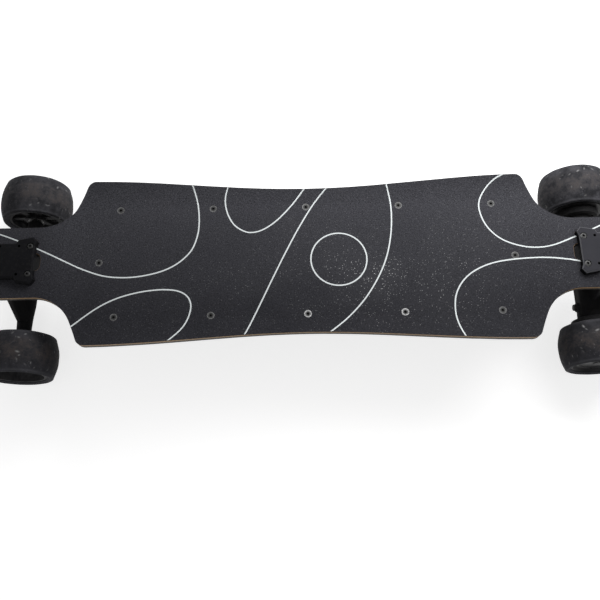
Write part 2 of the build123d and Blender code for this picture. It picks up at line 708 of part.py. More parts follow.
def make_baseplate():
    """Cast baseplate: plan plate, wedge through the deck slot, kingpin seat and pivot tower."""
    plate = Pos(0, 0, plate_z) * extrude(baseplate_outline(), BASEPLATE_HEIGHT)
    top = plate.edges().filter_by(lambda e: abs(e.center().Z - plate_z - BASEPLATE_HEIGHT) < 0.01)
    plate = chamfer(top, BASEPLATE_BEVEL)
    back = -WEB_BACK
    wedge_top = (steer_place(seat_top, -kingpin_seat)[0], plate_z)
    wedge_low = RING_REACH - BUSHING_DIAMETER / 2 - 2
    wedge = [
        wedge_top, steer_place(wedge_low, -kingpin_seat), (back, steer_place(wedge_low, -kingpin_seat)[1]),
        (back, plate_z),
    ]
    web = [
        wedge_top, steer_place(8, -kingpin_seat), steer_place(-PIVOT_MOUTH, -cup_radius),
        steer_place(tower_end, -cup_radius), (back, steer_place(tower_end, -tower_radius)[1] + 10),
        (back, plate_z),
    ]
    for outline, width in ((wedge, WEDGE_WIDTH), (web, WEB_WIDTH)):
        side = make_face(Plane.XZ * Polyline(*outline, close=True))
        plate += extrude(side, width / 2, both=True) & drop_through_slot(Pos(0, 0, 0), -1)
    plate += STEER * tube(tower_radius, 0, tower_end, -PIVOT_MOUTH)
    plate += KINGPIN * rod(BUSHING_DIAMETER / 2 + 1.5, -kingpin_seat - 8, -kingpin_seat)
    plate -= STEER * tube(cup_radius + FIT, 0, tower_end + PIVOT_TOWER_WALL, -PIVOT_MOUTH + 1)
    plate -= KINGPIN * rod(KINGPIN_DIAMETER / 2 + FIT, -kingpin_seat - KINGPIN_SOCKET_DEPTH, -kingpin_seat + 1)
    for x, y in truck_bolt_places():
        plate -= Pos(x, y, 0) * rod(TRUCK_BOLT_DIAMETER / 2 + LOOSE / 2, plate_z - 1, plate_z + 20)
        plate -= Pos(x, y, 0) * rod(TRUCK_BOLT_HEAD_DIAMETER / 2 + LOOSE, bolt_seat_z, plate_z + 20)
    for x in (-11.5, 15.5):
        for y in (-21, 21):
            plate -= Pos(x, y, 0) * rod(2, plate_z + 3, plate_z + 20)
    return plate


seat_top = (plate_z - steer_place(0, -kingpin_seat)[1]) / sin(lean)
bolt_seat_z = plate_z + BASEPLATE_HEIGHT - TRUCK_BOLT_HEAD_HEIGHT


def make_truck_bolts():
    """Button-head socket bolts from the baseplate down through the deck."""
    end = nut_z - TRUCK_NUT_HEIGHT - 1.5
    head = TRUCK_BOLT_HEAD_DIAMETER / 2
    top = bolt_seat_z + TRUCK_BOLT_HEAD_HEIGHT
    shank = TRUCK_BOLT_DIAMETER / 2
    edges = [
        Line((0, end), (shank, end)), Line((shank, end), (shank, bolt_seat_z)),
        Line((shank, bolt_seat_z), (head, bolt_seat_z)), Line((head, bolt_seat_z), (head, bolt_seat_z + 0.8)),
        ThreePointArc((head, bolt_seat_z + 0.8), (head * 0.8, top - 0.6), (head * 0.5, top)),
        Line((head * 0.5, top), (0, top)), Line((0, top), (0, end)),
    ]
    bolt = revolve(make_face([Plane.XZ * e for e in edges]), Axis.Z)
    bolt -= Pos(0, 0, top - 2) * hexagon(3, 3)
    return [place * Pos(x, y, 0) * bolt for place in (FRONT, REAR) for x, y in truck_bolt_places()]


def lock_nut(flats, height, bore):
    """Lock nut standing on Z = 0: hexagon with a round nylon collar on top."""
    nut = hexagon(flats, height * 0.72) & rod(flats * 0.565, 0, height)
    nut += rod(flats * 0.46, 0, height)
    return nut - rod(bore, -1, height + 1)


def make_truck_nuts():
    """Lock nuts under the deck."""
    nut = Rot(180, 0, 0) * lock_nut(TRUCK_NUT_FLATS, TRUCK_NUT_HEIGHT, TRUCK_BOLT_DIAMETER / 2 + FIT)
    return [place * Pos(x, y, nut_z) * nut for place in (FRONT, REAR) for x, y in truck_bolt_places()]


kingpin_end = kingpin_seat + KINGPIN_NUT_HEIGHT + KINGPIN_THREAD_LEFT


def both_trucks(piece):
    """The same piece in the front and the rear truck."""
    return [FRONT * piece, REAR * piece]


def make_kingpin():
    """Kingpin pressed in the baseplate, out through the ring to its nut."""
    pin = KINGPIN * rod(KINGPIN_DIAMETER / 2, -kingpin_seat - KINGPIN_SOCKET_DEPTH + 0.2, kingpin_end)
    return chamfer(pin.edges().sort_by_distance(KINGPIN * Pos(0, 0, kingpin_end) * Vertex(0, 0, 0))[:1], 0.8)


def make_kingpin_nut():
    """Lock nut that preloads the bushings."""
    nut = lock_nut(KINGPIN_NUT_FLATS, KINGPIN_NUT_HEIGHT, KINGPIN_DIAMETER / 2 + FIT)
    return KINGPIN * Pos(0, 0, kingpin_seat) * nut


def bushing_profile(tip_radius):
    """Half profile of a bushing from the ring outwards, (radius, height)."""
    bore = KINGPIN_DIAMETER / 2 + FIT
    outer = BUSHING_DIAMETER / 2
    return [
        (bore, 0), (outer, 0), (outer, BUSHING_HEIGHT * 0.45), (tip_radius, BUSHING_HEIGHT - 1),
        (tip_radius - 1, BUSHING_HEIGHT), (bore, BUSHING_HEIGHT),
    ]


def make_bushing(tip_radius, side):
    """Urethane bushing on the kingpin: side -1 sits towards the board, +1 towards the road."""
    piece = Rot(90, 0, 0) * turned(bushing_profile(tip_radius))
    if side < 0:
        piece = Rot(180, 0, 0) * piece
    return KINGPIN * Pos(0, 0, side * bushing_start) * piece


def make_cup_washer(radius, side):
    """Pressed washer with a low rim that hugs its bushing."""
    inner = kingpin_seat - CUP_WASHER_THICKNESS
    bore = KINGPIN_DIAMETER / 2 + FIT
    washer = tube(radius, bore, inner, kingpin_seat)
    washer = Rot(90, 0, 0) * washer
    return KINGPIN * (washer if side > 0 else Rot(180, 0, 0) * washer)


def make_pivot_cup():
    """Urethane cup that the pivot pin turns in."""
    cup = tube(cup_radius, 0, tower_end + PIVOT_TOWER_WALL, -PIVOT_MOUTH)
    return STEER * (cup - pivot_pin(RUNNING))


def yoke(corners):
    """Ring for the kingpin webbed down to the arms, round corners of (x, y, radius) on either side."""
    rounds = (Pos(0, RING_REACH) * Circle(RING_RADIUS)).edges()
    for x, y, radius in corners:
        rounds += (Pos(x, y) * Circle(radius)).edges() + (Pos(-x, y) * Circle(radius)).edges()
    web = extrude(make_hull(rounds), RING_THICKNESS / 2, both=True)
    rims = web.edges().filter_by(lambda e: abs(abs(e.center().Z) - RING_THICKNESS / 2) < 0.01)
    return STEER * fillet(rims, 2.5)


def hanger_cuts():
    """What comes out of either hanger: kingpin bore, bushing seats and room for the pivot tower."""
    cuts = [KINGPIN * rod(KINGPIN_DIAMETER / 2 + RING_BORE_PLAY, -RING_THICKNESS, RING_THICKNESS)]
    for side in (1, -1):
        start, end = sorted((side * bushing_start, side * RING_THICKNESS))
        cuts.append(KINGPIN * rod(BUSHING_DIAMETER / 2 + LOOSE, start, end))
    cuts.append(STEER * tube(tower_radius + 2.5, 0, tower_end - 10, -PIVOT_MOUTH + 1.5))
    return cuts


def finish_hanger(arms, corners):
    """Join the arms, the yoke and the pivot pin, and cut the seats."""
    hanger = arms + yoke(corners)
    for cut in hanger_cuts():
        hanger -= cut
    return hanger + STEER * pivot_pin()


def make_front_hanger():
    """Cast hanger with round arms that taper to the wheels, bored for the through axle."""
    core = HANGER_CORE_RADIUS
    points = [(core, 0), (core, 14), (FRONT_ARM_RADIUS, 38), (FRONT_TIP_RADIUS + 1.2, 56),
              (FRONT_TIP_RADIUS, 80), (FRONT_TIP_RADIUS, FRONT_ARM_END - 2)]
    edge = Spline(*points, tangents=[(0, 1), (0, 1)])
    tip = FRONT_TIP_RADIUS - 3
    half = [edge, Line((FRONT_TIP_RADIUS, FRONT_ARM_END - 2), (tip, FRONT_ARM_END)),
            Line((tip, FRONT_ARM_END), (0, FRONT_ARM_END)), Line((0, FRONT_ARM_END), (0, 0)),
            Line((0, 0), (core, 0))]
    arm = AXLE * revolve(make_face(half), Axis.Y)
    hanger = finish_hanger(arm + TURN * arm, FRONT_YOKE_CORNERS)
    bore = AXLE * tube(AXLE_DIAMETER / 2 + FIT, 0, -FRONT_ARM_END - 1, FRONT_ARM_END + 1)
    return hanger - bore


def make_rear_hanger():
    """Cast hanger with square arms that end in round flanges for the motors."""
    arms = AXLE * tube(HANGER_CORE_RADIUS, 0, -REAR_ARM_START - 2, REAR_ARM_START + 2)
    section = RectangleRounded(REAR_ARM_WIDTH, REAR_ARM_HEIGHT, REAR_ARM_ROUND)
    bar = AXLE * LIE * Pos(0, 0, REAR_ARM_START) * extrude(section, REAR_ARM_END - REAR_ARM_START)
    flange = AXLE * tube(REAR_FLANGE_RADIUS, 0, REAR_ARM_END - 3, MOTOR_FLANGE_START)
    for side in (Rot(0, 0, 0), TURN):
        arms += side * bar
        arms += side * flange
    hanger = finish_hanger(arms, REAR_YOKE_CORNERS)
    socket = AXLE * tube(MOTOR_SHAFT_DIAMETER / 2 + FIT, 0, shaft_start - 0.5, MOTOR_FLANGE_START + 1)
    for side in (1, -1):
        hanger -= (Rot(0, 0, 0) if side > 0 else TURN) * socket
        hanger -= gland_place(side) * rod(GLAND_RADIUS - 1.5 + FIT, -6, 1)
    return hanger


def gland_place(side):
    """Mouth of the cable gland in the inboard face of the rear hanger, Z pointing inboard."""
    return Pos(-REAR_ARM_WIDTH / 2, side * CABLE_EXIT_Y, axle_z) * Rot(0, -90, 0)


shaft_start = MOTOR_FLANGE_START - 20


# ---------------------------------------------------------------- front wheels
def make_tyre():
    """Wide slick tyre: crowned tread, round lips and a bore for its core, on the +Y side."""
    outer = WHEEL_DIAMETER / 2
    crown = outer - TYRE_CROWN
    bore = TYRE_BORE_DIAMETER / 2
    half = TYRE_WIDTH / 2
    lip = TYRE_LIP
    bow = lip * sin(pi / 4)
    edges = [ThreePointArc((crown, -half + lip), (outer, 0), (crown, half - lip))]
    for side in (1, -1):
        face = side * half
        edges += [
            ThreePointArc((crown, face - side * lip), (crown - lip + bow, face - side * (lip - bow)),
                          (crown - lip, face)),
            Line((crown - lip, face), (crown - lip - 1.5, face)),
            Line((crown - lip - 1.5, face), (bore, face - side * TYRE_FACE_RECESS)),
        ]
    edges.append(Line((bore, -half + TYRE_FACE_RECESS), (bore, half - TYRE_FACE_RECESS)))
    return AXLE * Pos(0, TYRE_TRACK / 2, 0) * revolve(make_face(edges), Axis.Y)


hub_start = FRONT_ARM_END + SPEED_RING_THICKNESS
hub_end = hub_start + 2 * BEARING_WIDTH + SPACER_LENGTH


def make_front_core():
    """Moulded wheel core: rim, spokes and a hub with two bearing seats."""
    rim = TYRE_BORE_DIAMETER / 2 - FIT
    core = tube(rim, rim - CORE_RIM_THICKNESS, tyre_in + 3, tyre_out - 3)
    core += tube(CORE_HUB_RADIUS, 5, hub_start + 0.3, hub_end - 0.3)
    spoke = Pos((CORE_HUB_RADIUS + rim) / 2 - 2, 0) * Rectangle(rim - CORE_HUB_RADIUS, SPOKE_WIDTH)
    for i in range(CORE_SPOKES):
        arm = Rot(0, 0, i * 360 / CORE_SPOKES) * Pos(0, 0, hub_start + 5) * extrude(spoke, 15)
        core += LIE * arm
    web = tube(rim - 1, CORE_HUB_RADIUS - 1, hub_start + 10, hub_start + 13)
    window = Rot(0, 0, 180 / CORE_SPOKES) * Pos((CORE_HUB_RADIUS + rim) / 2, 0) * Circle(5.5)
    for i in range(CORE_SPOKES):
        web -= LIE * Rot(0, 0, i * 360 / CORE_SPOKES) * Pos(0, 0, hub_start) * extrude(window, 30)
    core += web
    core -= tube(7.5, 0, hub_start - 1, hub_end + 1)
    seat = BEARING_OUTER_DIAMETER / 2 + FIT
    core -= tube(seat, 0, hub_start - 5, hub_start + BEARING_WIDTH)
    core -= tube(seat, 0, hub_end - BEARING_WIDTH, hub_end + 5)
    return AXLE * core


def bearing(outer, inner, width, start):
    """Shielded ball bearing: two races with the shields set back between them."""
    wall = (outer - inner) * 0.28
    points = [
        (inner, start), (inner + wall, start), (inner + wall, start + 0.6), (outer - wall, start + 0.6),
        (outer - wall, start), (outer, start), (outer, start + width), (outer - wall, start + width),
        (outer - wall, start + width - 0.6), (inner + wall, start + width - 0.6),
        (inner + wall, start + width), (inner, start + width),
    ]
    return AXLE * turned(points)


def make_front_bearings():
    """The two bearings of a front wheel."""
    sizes = (BEARING_OUTER_DIAMETER / 2, AXLE_DIAMETER / 2 + RUNNING, BEARING_WIDTH - 2 * RUNNING)
    return [bearing(*sizes, hub_start + RUNNING), bearing(*sizes, hub_end - BEARING_WIDTH + RUNNING)]


def make_front_axle():
    """Through axle with chamfered ends."""
    radius = AXLE_DIAMETER / 2
    return AXLE * turned([
        (0, -axle_end), (radius - 0.8, -axle_end), (radius, -axle_end + 0.8), (radius, axle_end - 0.8),
        (radius - 0.8, axle_end), (0, axle_end),
    ])


def both_sides(piece):
    """The same piece on the +Y and the -Y end of an axle."""
    return [piece, TURN * piece]


def make_speed_rings():
    """Thin washers on either side of the bearing pair."""
    bore = AXLE_DIAMETER / 2 + FIT
    outer = SPEED_RING_DIAMETER / 2
    inner_ring = AXLE * tube(outer, bore, FRONT_ARM_END, FRONT_ARM_END + SPEED_RING_THICKNESS)
    outer_ring = AXLE * tube(outer, bore, hub_end, hub_end + SPEED_RING_THICKNESS)
    return both_sides(inner_ring) + both_sides(outer_ring)


def make_bearing_spacers():
    """Sleeves between the two bearings of a wheel."""
    start = hub_start + BEARING_WIDTH
    return both_sides(AXLE * tube(6, AXLE_DIAMETER / 2 + FIT, start, start + SPACER_LENGTH))


def make_axle_nuts():
    """Lock nuts on the axle ends."""
    nut = LIE * lock_nut(AXLE_NUT_FLATS, AXLE_NUT_HEIGHT, AXLE_DIAMETER / 2 + FIT)
    return both_sides(AXLE * Pos(0, hub_end + SPEED_RING_THICKNESS, 0) * nut)


# ---------------------------------------------------------------- hub motors
can_outer = TYRE_BORE_DIAMETER / 2 - FIT
can_inner = can_outer - MOTOR_CAN_WALL
cover_face = tyre_out - MOTOR_COVER_INSET
cover_back = cover_face - MOTOR_COVER_THICKNESS
inner_bearing_y = MOTOR_CAN_START + 0.5
outer_bearing_y = cover_back - 2 - MOTOR_BEARING_WIDTH
bearing_seat = MOTOR_BEARING_DIAMETER / 2 + FIT
shaft_end = outer_bearing_y + MOTOR_BEARING_WIDTH + 1
stator_y = (MOTOR_CAN_START + MOTOR_END_PLATE + cover_back - STATOR_LENGTH) / 2
magnet_inner = can_inner - FIT - MAGNET_THICKNESS
stator_radius = magnet_inner - AIR_GAP


def make_motor_can():
    """Rotor can under the tyre, closed on the hanger side by an end plate with a bearing boss."""
    plate_end = MOTOR_CAN_START + MOTOR_END_PLATE
    boss_end = inner_bearing_y + MOTOR_BEARING_WIDTH
    can = turned([
        (bearing_seat, MOTOR_CAN_START), (can_outer, MOTOR_CAN_START), (can_outer, tyre_out - 3),
        (can_outer - 1.5, tyre_out - 3), (can_inner, cover_face), (can_inner, plate_end),
        (bearing_seat + 3.5, plate_end), (bearing_seat + 3.5, boss_end), (bearing_seat, boss_end),
    ])
    return AXLE * can


def make_motor_cover():
    """Screwed outer cover with a bearing boss behind, a raised ring and a round centre cap."""
    outer = can_inner - FIT
    boss = outer_bearing_y
    cover = turned([
        (0, cover_face + 1.2), (8, cover_face + 1.2), (9.2, cover_face), (20, cover_face - 1.2),
        (27, cover_face - 1.2), (28, cover_face), (outer, cover_face), (outer, cover_back),
        (bearing_seat + 3.5, cover_back), (bearing_seat + 3.5, boss), (bearing_seat, boss),
        (bearing_seat, boss + MOTOR_BEARING_WIDTH + 0.1), (10, boss + MOTOR_BEARING_WIDTH + 0.1),
        (10, cover_back + 0.6), (0, cover_back + 0.6),
    ])
    for i in range(6):
        place = LIE * Rot(0, 0, 30 + 60 * i) * Pos((outer + 28) / 2, 0, cover_face - 2)
        cover -= place * rod(1.6, 0, 5)
    return AXLE * cover


def make_motor_bearings():
    """The two bearings between the rotor and the fixed shaft."""
    sizes = (MOTOR_BEARING_DIAMETER / 2, MOTOR_SHAFT_DIAMETER / 2 + RUNNING, MOTOR_BEARING_WIDTH)
    return [bearing(*sizes, inner_bearing_y), bearing(*sizes, outer_bearing_y)]


def make_magnets():
    """Curved magnets bonded inside the rotor can."""
    ring = tube(can_inner - FIT, magnet_inner, stator_y - 1, stator_y + STATOR_LENGTH + 1)
    gap = 1.2
    arc = 2 * pi * magnet_inner / MAGNET_COUNT - gap
    half = degrees(asin(arc / 2 / magnet_inner))
    reach = can_inner + 6
    wedge = make_face(Polyline(
        (0, 0), (reach, -reach * tan(radians(half))), (reach, reach * tan(radians(half))), close=True
    ))
    sector = LIE * Pos(0, 0, stator_y - 5) * extrude(wedge, STATOR_LENGTH + 10)
    magnet = ring & sector
    return [AXLE * Rot(0, i * 360 / MAGNET_COUNT, 0) * magnet for i in range(MAGNET_COUNT)]


def make_stator():
    """Laminated stator: yoke ring and T-shaped teeth on the fixed shaft."""
    outline = Circle(STATOR_YOKE_RADIUS)
    foot = stator_radius - 2
    stem = Pos((STATOR_YOKE_RADIUS + foot) / 2, 0) * Rectangle(foot - STATOR_YOKE_RADIUS + 2, 4)
    shoe_ring = Circle(stator_radius) - Circle(foot)
    half = 180 / STATOR_SLOTS - 2.5
    reach = stator_radius + 5
    wedge = make_face(Polyline(
        (0, 0), (reach, -reach * tan(radians(half))), (reach, reach * tan(radians(half))), close=True
    ))
    shoe = shoe_ring & wedge
    for i in range(STATOR_SLOTS):
        turn = Rot(0, 0, i * 360 / STATOR_SLOTS)
        outline += turn * stem
        outline += turn * shoe
    outline -= Circle(MOTOR_SHAFT_DIAMETER / 2 + FIT)
    return AXLE * LIE * Pos(0, 0, stator_y) * extrude(outline, STATOR_LENGTH)


def make_windings():
    """Copper coils, one round each tooth."""
    start = STATOR_YOKE_RADIUS + 0.8
    end = stator_radius - 2.6
    root_room = 2 * start * tan(pi / STATOR_SLOTS) - 0.6
    tip_room = min(2 * end * tan(pi / STATOR_SLOTS) - 0.6, root_room + 2.4)
    coil = make_face(Polyline(
        (start, -root_room / 2), (end, -tip_room / 2), (end, tip_room / 2), (start, root_room / 2), close=True
    ))
    coil = Pos(0, 0, stator_y - 3) * extrude(coil, STATOR_LENGTH + 6)
    coil -= block(0, stator_radius, -2 - FIT, 2 + FIT, stator_y - FIT, stator_y + STATOR_LENGTH + FIT)
    return [AXLE * LIE * Rot(0, 0, i * 360 / STATOR_SLOTS) * coil for i in range(STATOR_SLOTS)]


def make_motor_shaft():
    """Fixed hollow shaft clamped in the hanger, with a step for the stator."""
    radius = MOTOR_SHAFT_DIAMETER / 2
    shaft = turned([
        (3.5, shaft_start), (radius, shaft_start), (radius, shaft_end - 1), (radius - 1, shaft_end),
        (0, shaft_end), (0, shaft_end - 12), (3.5, shaft_end - 12),
    ])
    return AXLE * shaft


def make_motor_flange():
    """Fixed disc between the hanger and the spinning can, with a bolt circle and a rounded rim."""
    start = MOTOR_FLANGE_START
    end = start + MOTOR_FLANGE_THICKNESS
    bore = MOTOR_SHAFT_DIAMETER / 2 + FIT
    outer = MOTOR_FLANGE_RADIUS
    flange = turned([
        (bore, start), (outer - 5, start), (outer - 1.5, start + 1.5), (outer, start + 5), (outer, end),
        (bore, end),
    ])
    for i in range(4):
        place = LIE * Rot(0, 0, 45 + 90 * i) * Pos(REAR_FLANGE_RADIUS + 3, 0, start - 1)
        flange -= place * rod(2, 0, 5)
    return AXLE * flange


# ---------------------------------------------------------------- cable glands
def gland(length):
    """Cable gland standing on Z = 0: a hexagon shoulder and a tapered nose."""
    shape = rod(GLAND_RADIUS - 1.5, -2.5, 1) + hexagon(2 * GLAND_RADIUS, 3.5)
    nose = [(0, 3.5), (GLAND_RADIUS - 0.8, 3.5), (CABLE_DIAMETER / 2 + 0.9, length), (0, length)]
    shape += revolve(make_face(Plane.XZ * Polyline(*nose, close=True)), Axis.Z)
    return shape


def make_hanger_glands():
    """Glands for the motor cables in the rear hanger."""
    return [REAR * gland_place(side) * gland(GLAND_LENGTH * 0.6) for side in (1, -1)]


def make_box_glands():
    """Glands on the rear wall of the battery box."""
    place = Pos(box_length / 2, 0, cable_z) * Rot(0, 90, 0)
    return [Pos(0, side * BOX_EXIT_Y, 0) * place * gland(GLAND_LENGTH) for side in (1, -1)]


# ---------------------------------------------------------------- write the nodes
def write_board():
    """Deck, battery box and everything fixed to them."""
    save("deck", make_deck())
    save("grip_sheet", make_grip())
    save("deck_screws", *make_deck_screws())
    save("enclosure_shell", make_box())
    save("enclosure_gasket", make_gasket())
    save("threaded_inserts", *make_inserts())
    save("battery_cells", *make_cells())
    save("cell_holders", *make_cell_holders())
    save("nickel_strips", *make_nickel_strips())
    save("battery_management_board", make_bms())
    save("speed_controller", make_controller())
    save("heat_sink", make_heat_sink())
    save("power_button_bezel", make_bezel())
    save("power_button", make_button())
    save("charge_socket", make_charge_socket())
    save("charge_socket_cap", make_cap())


def write_trucks():
    """Both trucks; the pieces on the kingpins stay with the board, the hangers turn."""
    baseplate = make_baseplate()
    save("front_baseplate", FRONT * baseplate)
    save("rear_baseplate", REAR * baseplate)
    save("truck_bolts", *make_truck_bolts())
    save("truck_lock_nuts", *make_truck_nuts())
    save("kingpins", *both_trucks(make_kingpin()))
    save("kingpin_nuts", *both_trucks(make_kingpin_nut()))
    for end, place in (("front", FRONT), ("rear", REAR)):
        save(f"{end}_boardside_bushing", place * make_bushing(BUSHING_DIAMETER / 2, -1))
        save(f"{end}_roadside_bushing", place * make_bushing(ROADSIDE_TIP_DIAMETER / 2, 1))
    save("boardside_cup_washers", *both_trucks(make_cup_washer(BUSHING_DIAMETER / 2 + 1.2, -1)))
    save("roadside_cup_washers", *both_trucks(make_cup_washer(ROADSIDE_TIP_DIAMETER / 2 + 0.6, 1)))
    save("pivot_cups", *both_trucks(make_pivot_cup()))
    save("front_hanger", FRONT * make_front_hanger())
    save("front_axle", FRONT * make_front_axle())
    save("front_speed_rings", *[FRONT * ring for ring in make_speed_rings()])
    save("front_bearing_spacers", *[FRONT * spacer for spacer in make_bearing_spacers()])
    save("front_axle_nuts", *[FRONT * nut for nut in make_axle_nuts()])
    save("rear_hanger", REAR * make_rear_hanger())
    save("motor_shafts", *[REAR * piece for piece in both_sides(make_motor_shaft())])
    save("motor_flanges", *[REAR * piece for piece in both_sides(make_motor_flange())])
    save("motor_stators", *[REAR * piece for piece in both_sides(make_stator())])
    windings = make_windings()
    save("motor_windings", *[REAR * side * coil for side in (Rot(0, 0, 0), TURN) for coil in windings])
    save("hanger_cable_glands", *make_hanger_glands())
    save("enclosure_cable_glands", *make_box_glands())


def write_wheels():
    """Four wheels: cored at the front, hub motors at the rear."""
    tyre = make_tyre()
    core = make_front_core()
    bearings = make_front_bearings()
    can = make_motor_can()
    cover = make_motor_cover()
    magnets = make_magnets()
    motor_bearings = make_motor_bearings()
    for side, place in (("left", FRONT), ("right", FRONT * TURN)):
        save(f"front_{side}_tyre", place * tyre)
        save(f"front_{side}_core", place * core)
        save(f"front_{side}_bearings", *[place * piece for piece in bearings])
    for side, place in (("left", REAR * TURN), ("right", REAR)):
        save(f"rear_{side}_tyre", place * tyre)
        save(f"rear_{side}_motor_can", place * can)
        save(f"rear_{side}_motor_cover", place * cover)
        save(f"rear_{side}_magnets", *[place * piece for piece in magnets])
        save(f"rear_{side}_motor_bearings", *[place * piece for piece in motor_bearings])


write_board()
write_trucks()
write_wheels()
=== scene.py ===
import math

import bpy
import numpy as np
from mathutils import Matrix, Vector


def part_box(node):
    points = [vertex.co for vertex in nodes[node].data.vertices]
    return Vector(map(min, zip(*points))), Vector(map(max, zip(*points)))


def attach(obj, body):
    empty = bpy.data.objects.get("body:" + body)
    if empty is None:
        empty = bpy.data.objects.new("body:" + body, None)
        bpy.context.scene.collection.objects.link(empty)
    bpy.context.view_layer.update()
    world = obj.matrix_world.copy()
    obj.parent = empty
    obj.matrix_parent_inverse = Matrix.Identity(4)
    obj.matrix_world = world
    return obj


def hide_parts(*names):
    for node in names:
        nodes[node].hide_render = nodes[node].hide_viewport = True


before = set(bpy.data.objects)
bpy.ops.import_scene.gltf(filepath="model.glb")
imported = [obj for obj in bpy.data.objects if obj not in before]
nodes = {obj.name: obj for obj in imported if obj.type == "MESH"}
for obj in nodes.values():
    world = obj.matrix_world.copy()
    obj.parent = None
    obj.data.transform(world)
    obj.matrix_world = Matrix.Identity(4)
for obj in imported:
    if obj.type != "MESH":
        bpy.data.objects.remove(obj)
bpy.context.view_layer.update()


# ---------------------------------------------------------------- studio
# The board stands on a pale floor in soft light, seen steeply from its left side. A diffuse dome
# gives the level, a long lamp close by on the far side, towards the motors, fades across the board,
# and a second long lamp well away on the near side lights its rail.
LENS_MM = 42.57
SENSOR_MM = 36.0
CAMERA_ELEVATION = math.radians(71.41)
CAMERA_AZIMUTH = math.radians(0.50)
CAMERA_ROLL = math.radians(-1.551)
CAMERA_DISTANCE = 0.9776
AIM_X = -0.01066
AIM_Y = -0.0607
GRIP_THICKNESS = 0.001
FLOOR_REACH = 6
FLOOR_GLOW = 0.72
DOME_LIGHT = 0.26

grip_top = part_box("grip_sheet")[0].z + GRIP_THICKNESS
aim = Vector((AIM_X, AIM_Y, grip_top))
back = Vector((
    math.sin(CAMERA_AZIMUTH) * math.cos(CAMERA_ELEVATION),
    -math.cos(CAMERA_AZIMUTH) * math.cos(CAMERA_ELEVATION),
    math.sin(CAMERA_ELEVATION),
))
level = (-back).cross(Vector((0, 0, 1))).normalized()
upward = level.cross(-back)
across = level * math.cos(CAMERA_ROLL) + upward * math.sin(CAMERA_ROLL)
upward = upward * math.cos(CAMERA_ROLL) - level * math.sin(CAMERA_ROLL)
camera = bpy.data.objects.new("studio_camera", bpy.data.cameras.new("studio_camera"))
camera.data.lens = LENS_MM
camera.data.sensor_width = SENSOR_MM
camera.data.clip_start = 0.01
camera.matrix_world = Matrix.Translation(aim + back * CAMERA_DISTANCE) @ Matrix(
    (across, upward, back)
).transposed().to_4x4()
bpy.context.scene.collection.objects.link(camera)
bpy.context.scene.camera = camera
bpy.context.scene.view_settings.view_transform = "Standard"


class Wire:
    """One output of a shader node. Arithmetic on it adds the Math nodes that work it out."""

    def __init__(self, graph, socket):
        self.graph = graph
        self.socket = socket

    def math(self, operation, first, second):
        return self.graph.node("Math", {"operation": operation}, {0: first, 1: second})

    def __add__(self, other):
        return self.math("ADD", self, other)

    def __radd__(self, other):
        return self.math("ADD", other, self)

    def __sub__(self, other):
        return self.math("SUBTRACT", self, other)

    def __rsub__(self, other):
        return self.math("SUBTRACT", other, self)

    def __mul__(self, other):
        return self.math("MULTIPLY", self, other)

    def __rmul__(self, other):
        return self.math("MULTIPLY", other, self)

    def __truediv__(self, other):
        return self.math("DIVIDE", self, other)

    def __rtruediv__(self, other):
        return self.math("DIVIDE", other, self)

    def __gt__(self, other):
        return self.math("GREATER_THAN", self, other)

    def __lt__(self, other):
        return self.math("LESS_THAN", self, other)

    def __pow__(self, other):
        return self.math("POWER", self, other)

    def __abs__(self):
        return self.math("ABSOLUTE", self, 0.0)

    def least(self, other):
        return self.math("MINIMUM", self, other)

    def most(self, other):
        return self.math("MAXIMUM", self, other)


class Graph:
    """A node tree under construction."""

    def __init__(self, tree):
        self.tree = tree

    def node(self, kind, settings, sockets, output=0):
        """Any node: its settings go in first, then the values or wires of its sockets."""
        made = self.tree.nodes.new("ShaderNode" + kind)
        for key, value in settings.items():
            if key == "stops":
                while len(made.color_ramp.elements) < len(value):
                    made.color_ramp.elements.new(0.5)
                for element, (spot, shade) in zip(made.color_ramp.elements, value):
                    element.position = spot
                    element.color = (shade, shade, shade, 1.0)
            else:
                setattr(made, key, value)
        for key, value in sockets.items():
            if isinstance(value, Wire):
                self.tree.links.new(value.socket, made.inputs[key])
            else:
                made.inputs[key].default_value = value
        return Wire(self, made.outputs[output])

    def shown(self):
        """1 on the rays that show a thing, straight to the camera, mirrored or through glass, and 0
        on those by which it lights other things."""
        camera_ray, glossy_ray, transmission_ray = (
            self.node("LightPath", {}, {}, "Is " + kind + " Ray")
            for kind in ("Camera", "Glossy", "Transmission")
        )
        return camera_ray.most(glossy_ray).most(transmission_ray)


class Finish(Graph):
    """A surface finish under construction: a material, its node tree and its surface shader."""

    def __init__(self, name, **constants):
        self.material = bpy.data.materials.new(name)
        self.material.use_nodes = True
        super().__init__(self.material.node_tree)
        self.shader = self.tree.nodes["Principled BSDF"]
        for socket, value in constants.items():
            self.shader.inputs[socket.replace("_", " ")].default_value = value
        self.place = self.node("TexCoord", {}, {}, "Object")

    def noise(self, scale, detail=3.0, rough=0.55, place=None):
        return self.node("TexNoise", {}, {
            "Vector": place or self.place, "Scale": scale, "Detail": detail, "Roughness": rough,
        })

    def cells(self, scale, output="Distance", feature="F1"):
        return self.node("TexVoronoi", {"feature": feature}, {
            "Vector": self.place, "Scale": scale,
        }, output)

    def part(self, axis, vector=None):
        return self.node("SeparateXYZ", {}, {0: vector or self.place}, axis)

    def stretch(self, factors):
        return self.node("Mapping", {}, {0: self.place, "Scale": factors})

    def ramp(self, value, *stops):
        return self.node("ValToRGB", {"stops": stops}, {0: value})

    def blend(self, amount, first, second):
        return self.node("Mix", {"data_type": "RGBA"}, {0: amount, 6: first, 7: second}, 2)

    def bump(self, height, distance, strength):
        return self.node("Bump", {}, {
            "Height": height, "Distance": distance, "Strength": strength,
        })

    def wire(self, **sockets):
        for socket, value in sockets.items():
            self.tree.links.new(value.socket, self.shader.inputs[socket.replace("_", " ")])
        return self.material


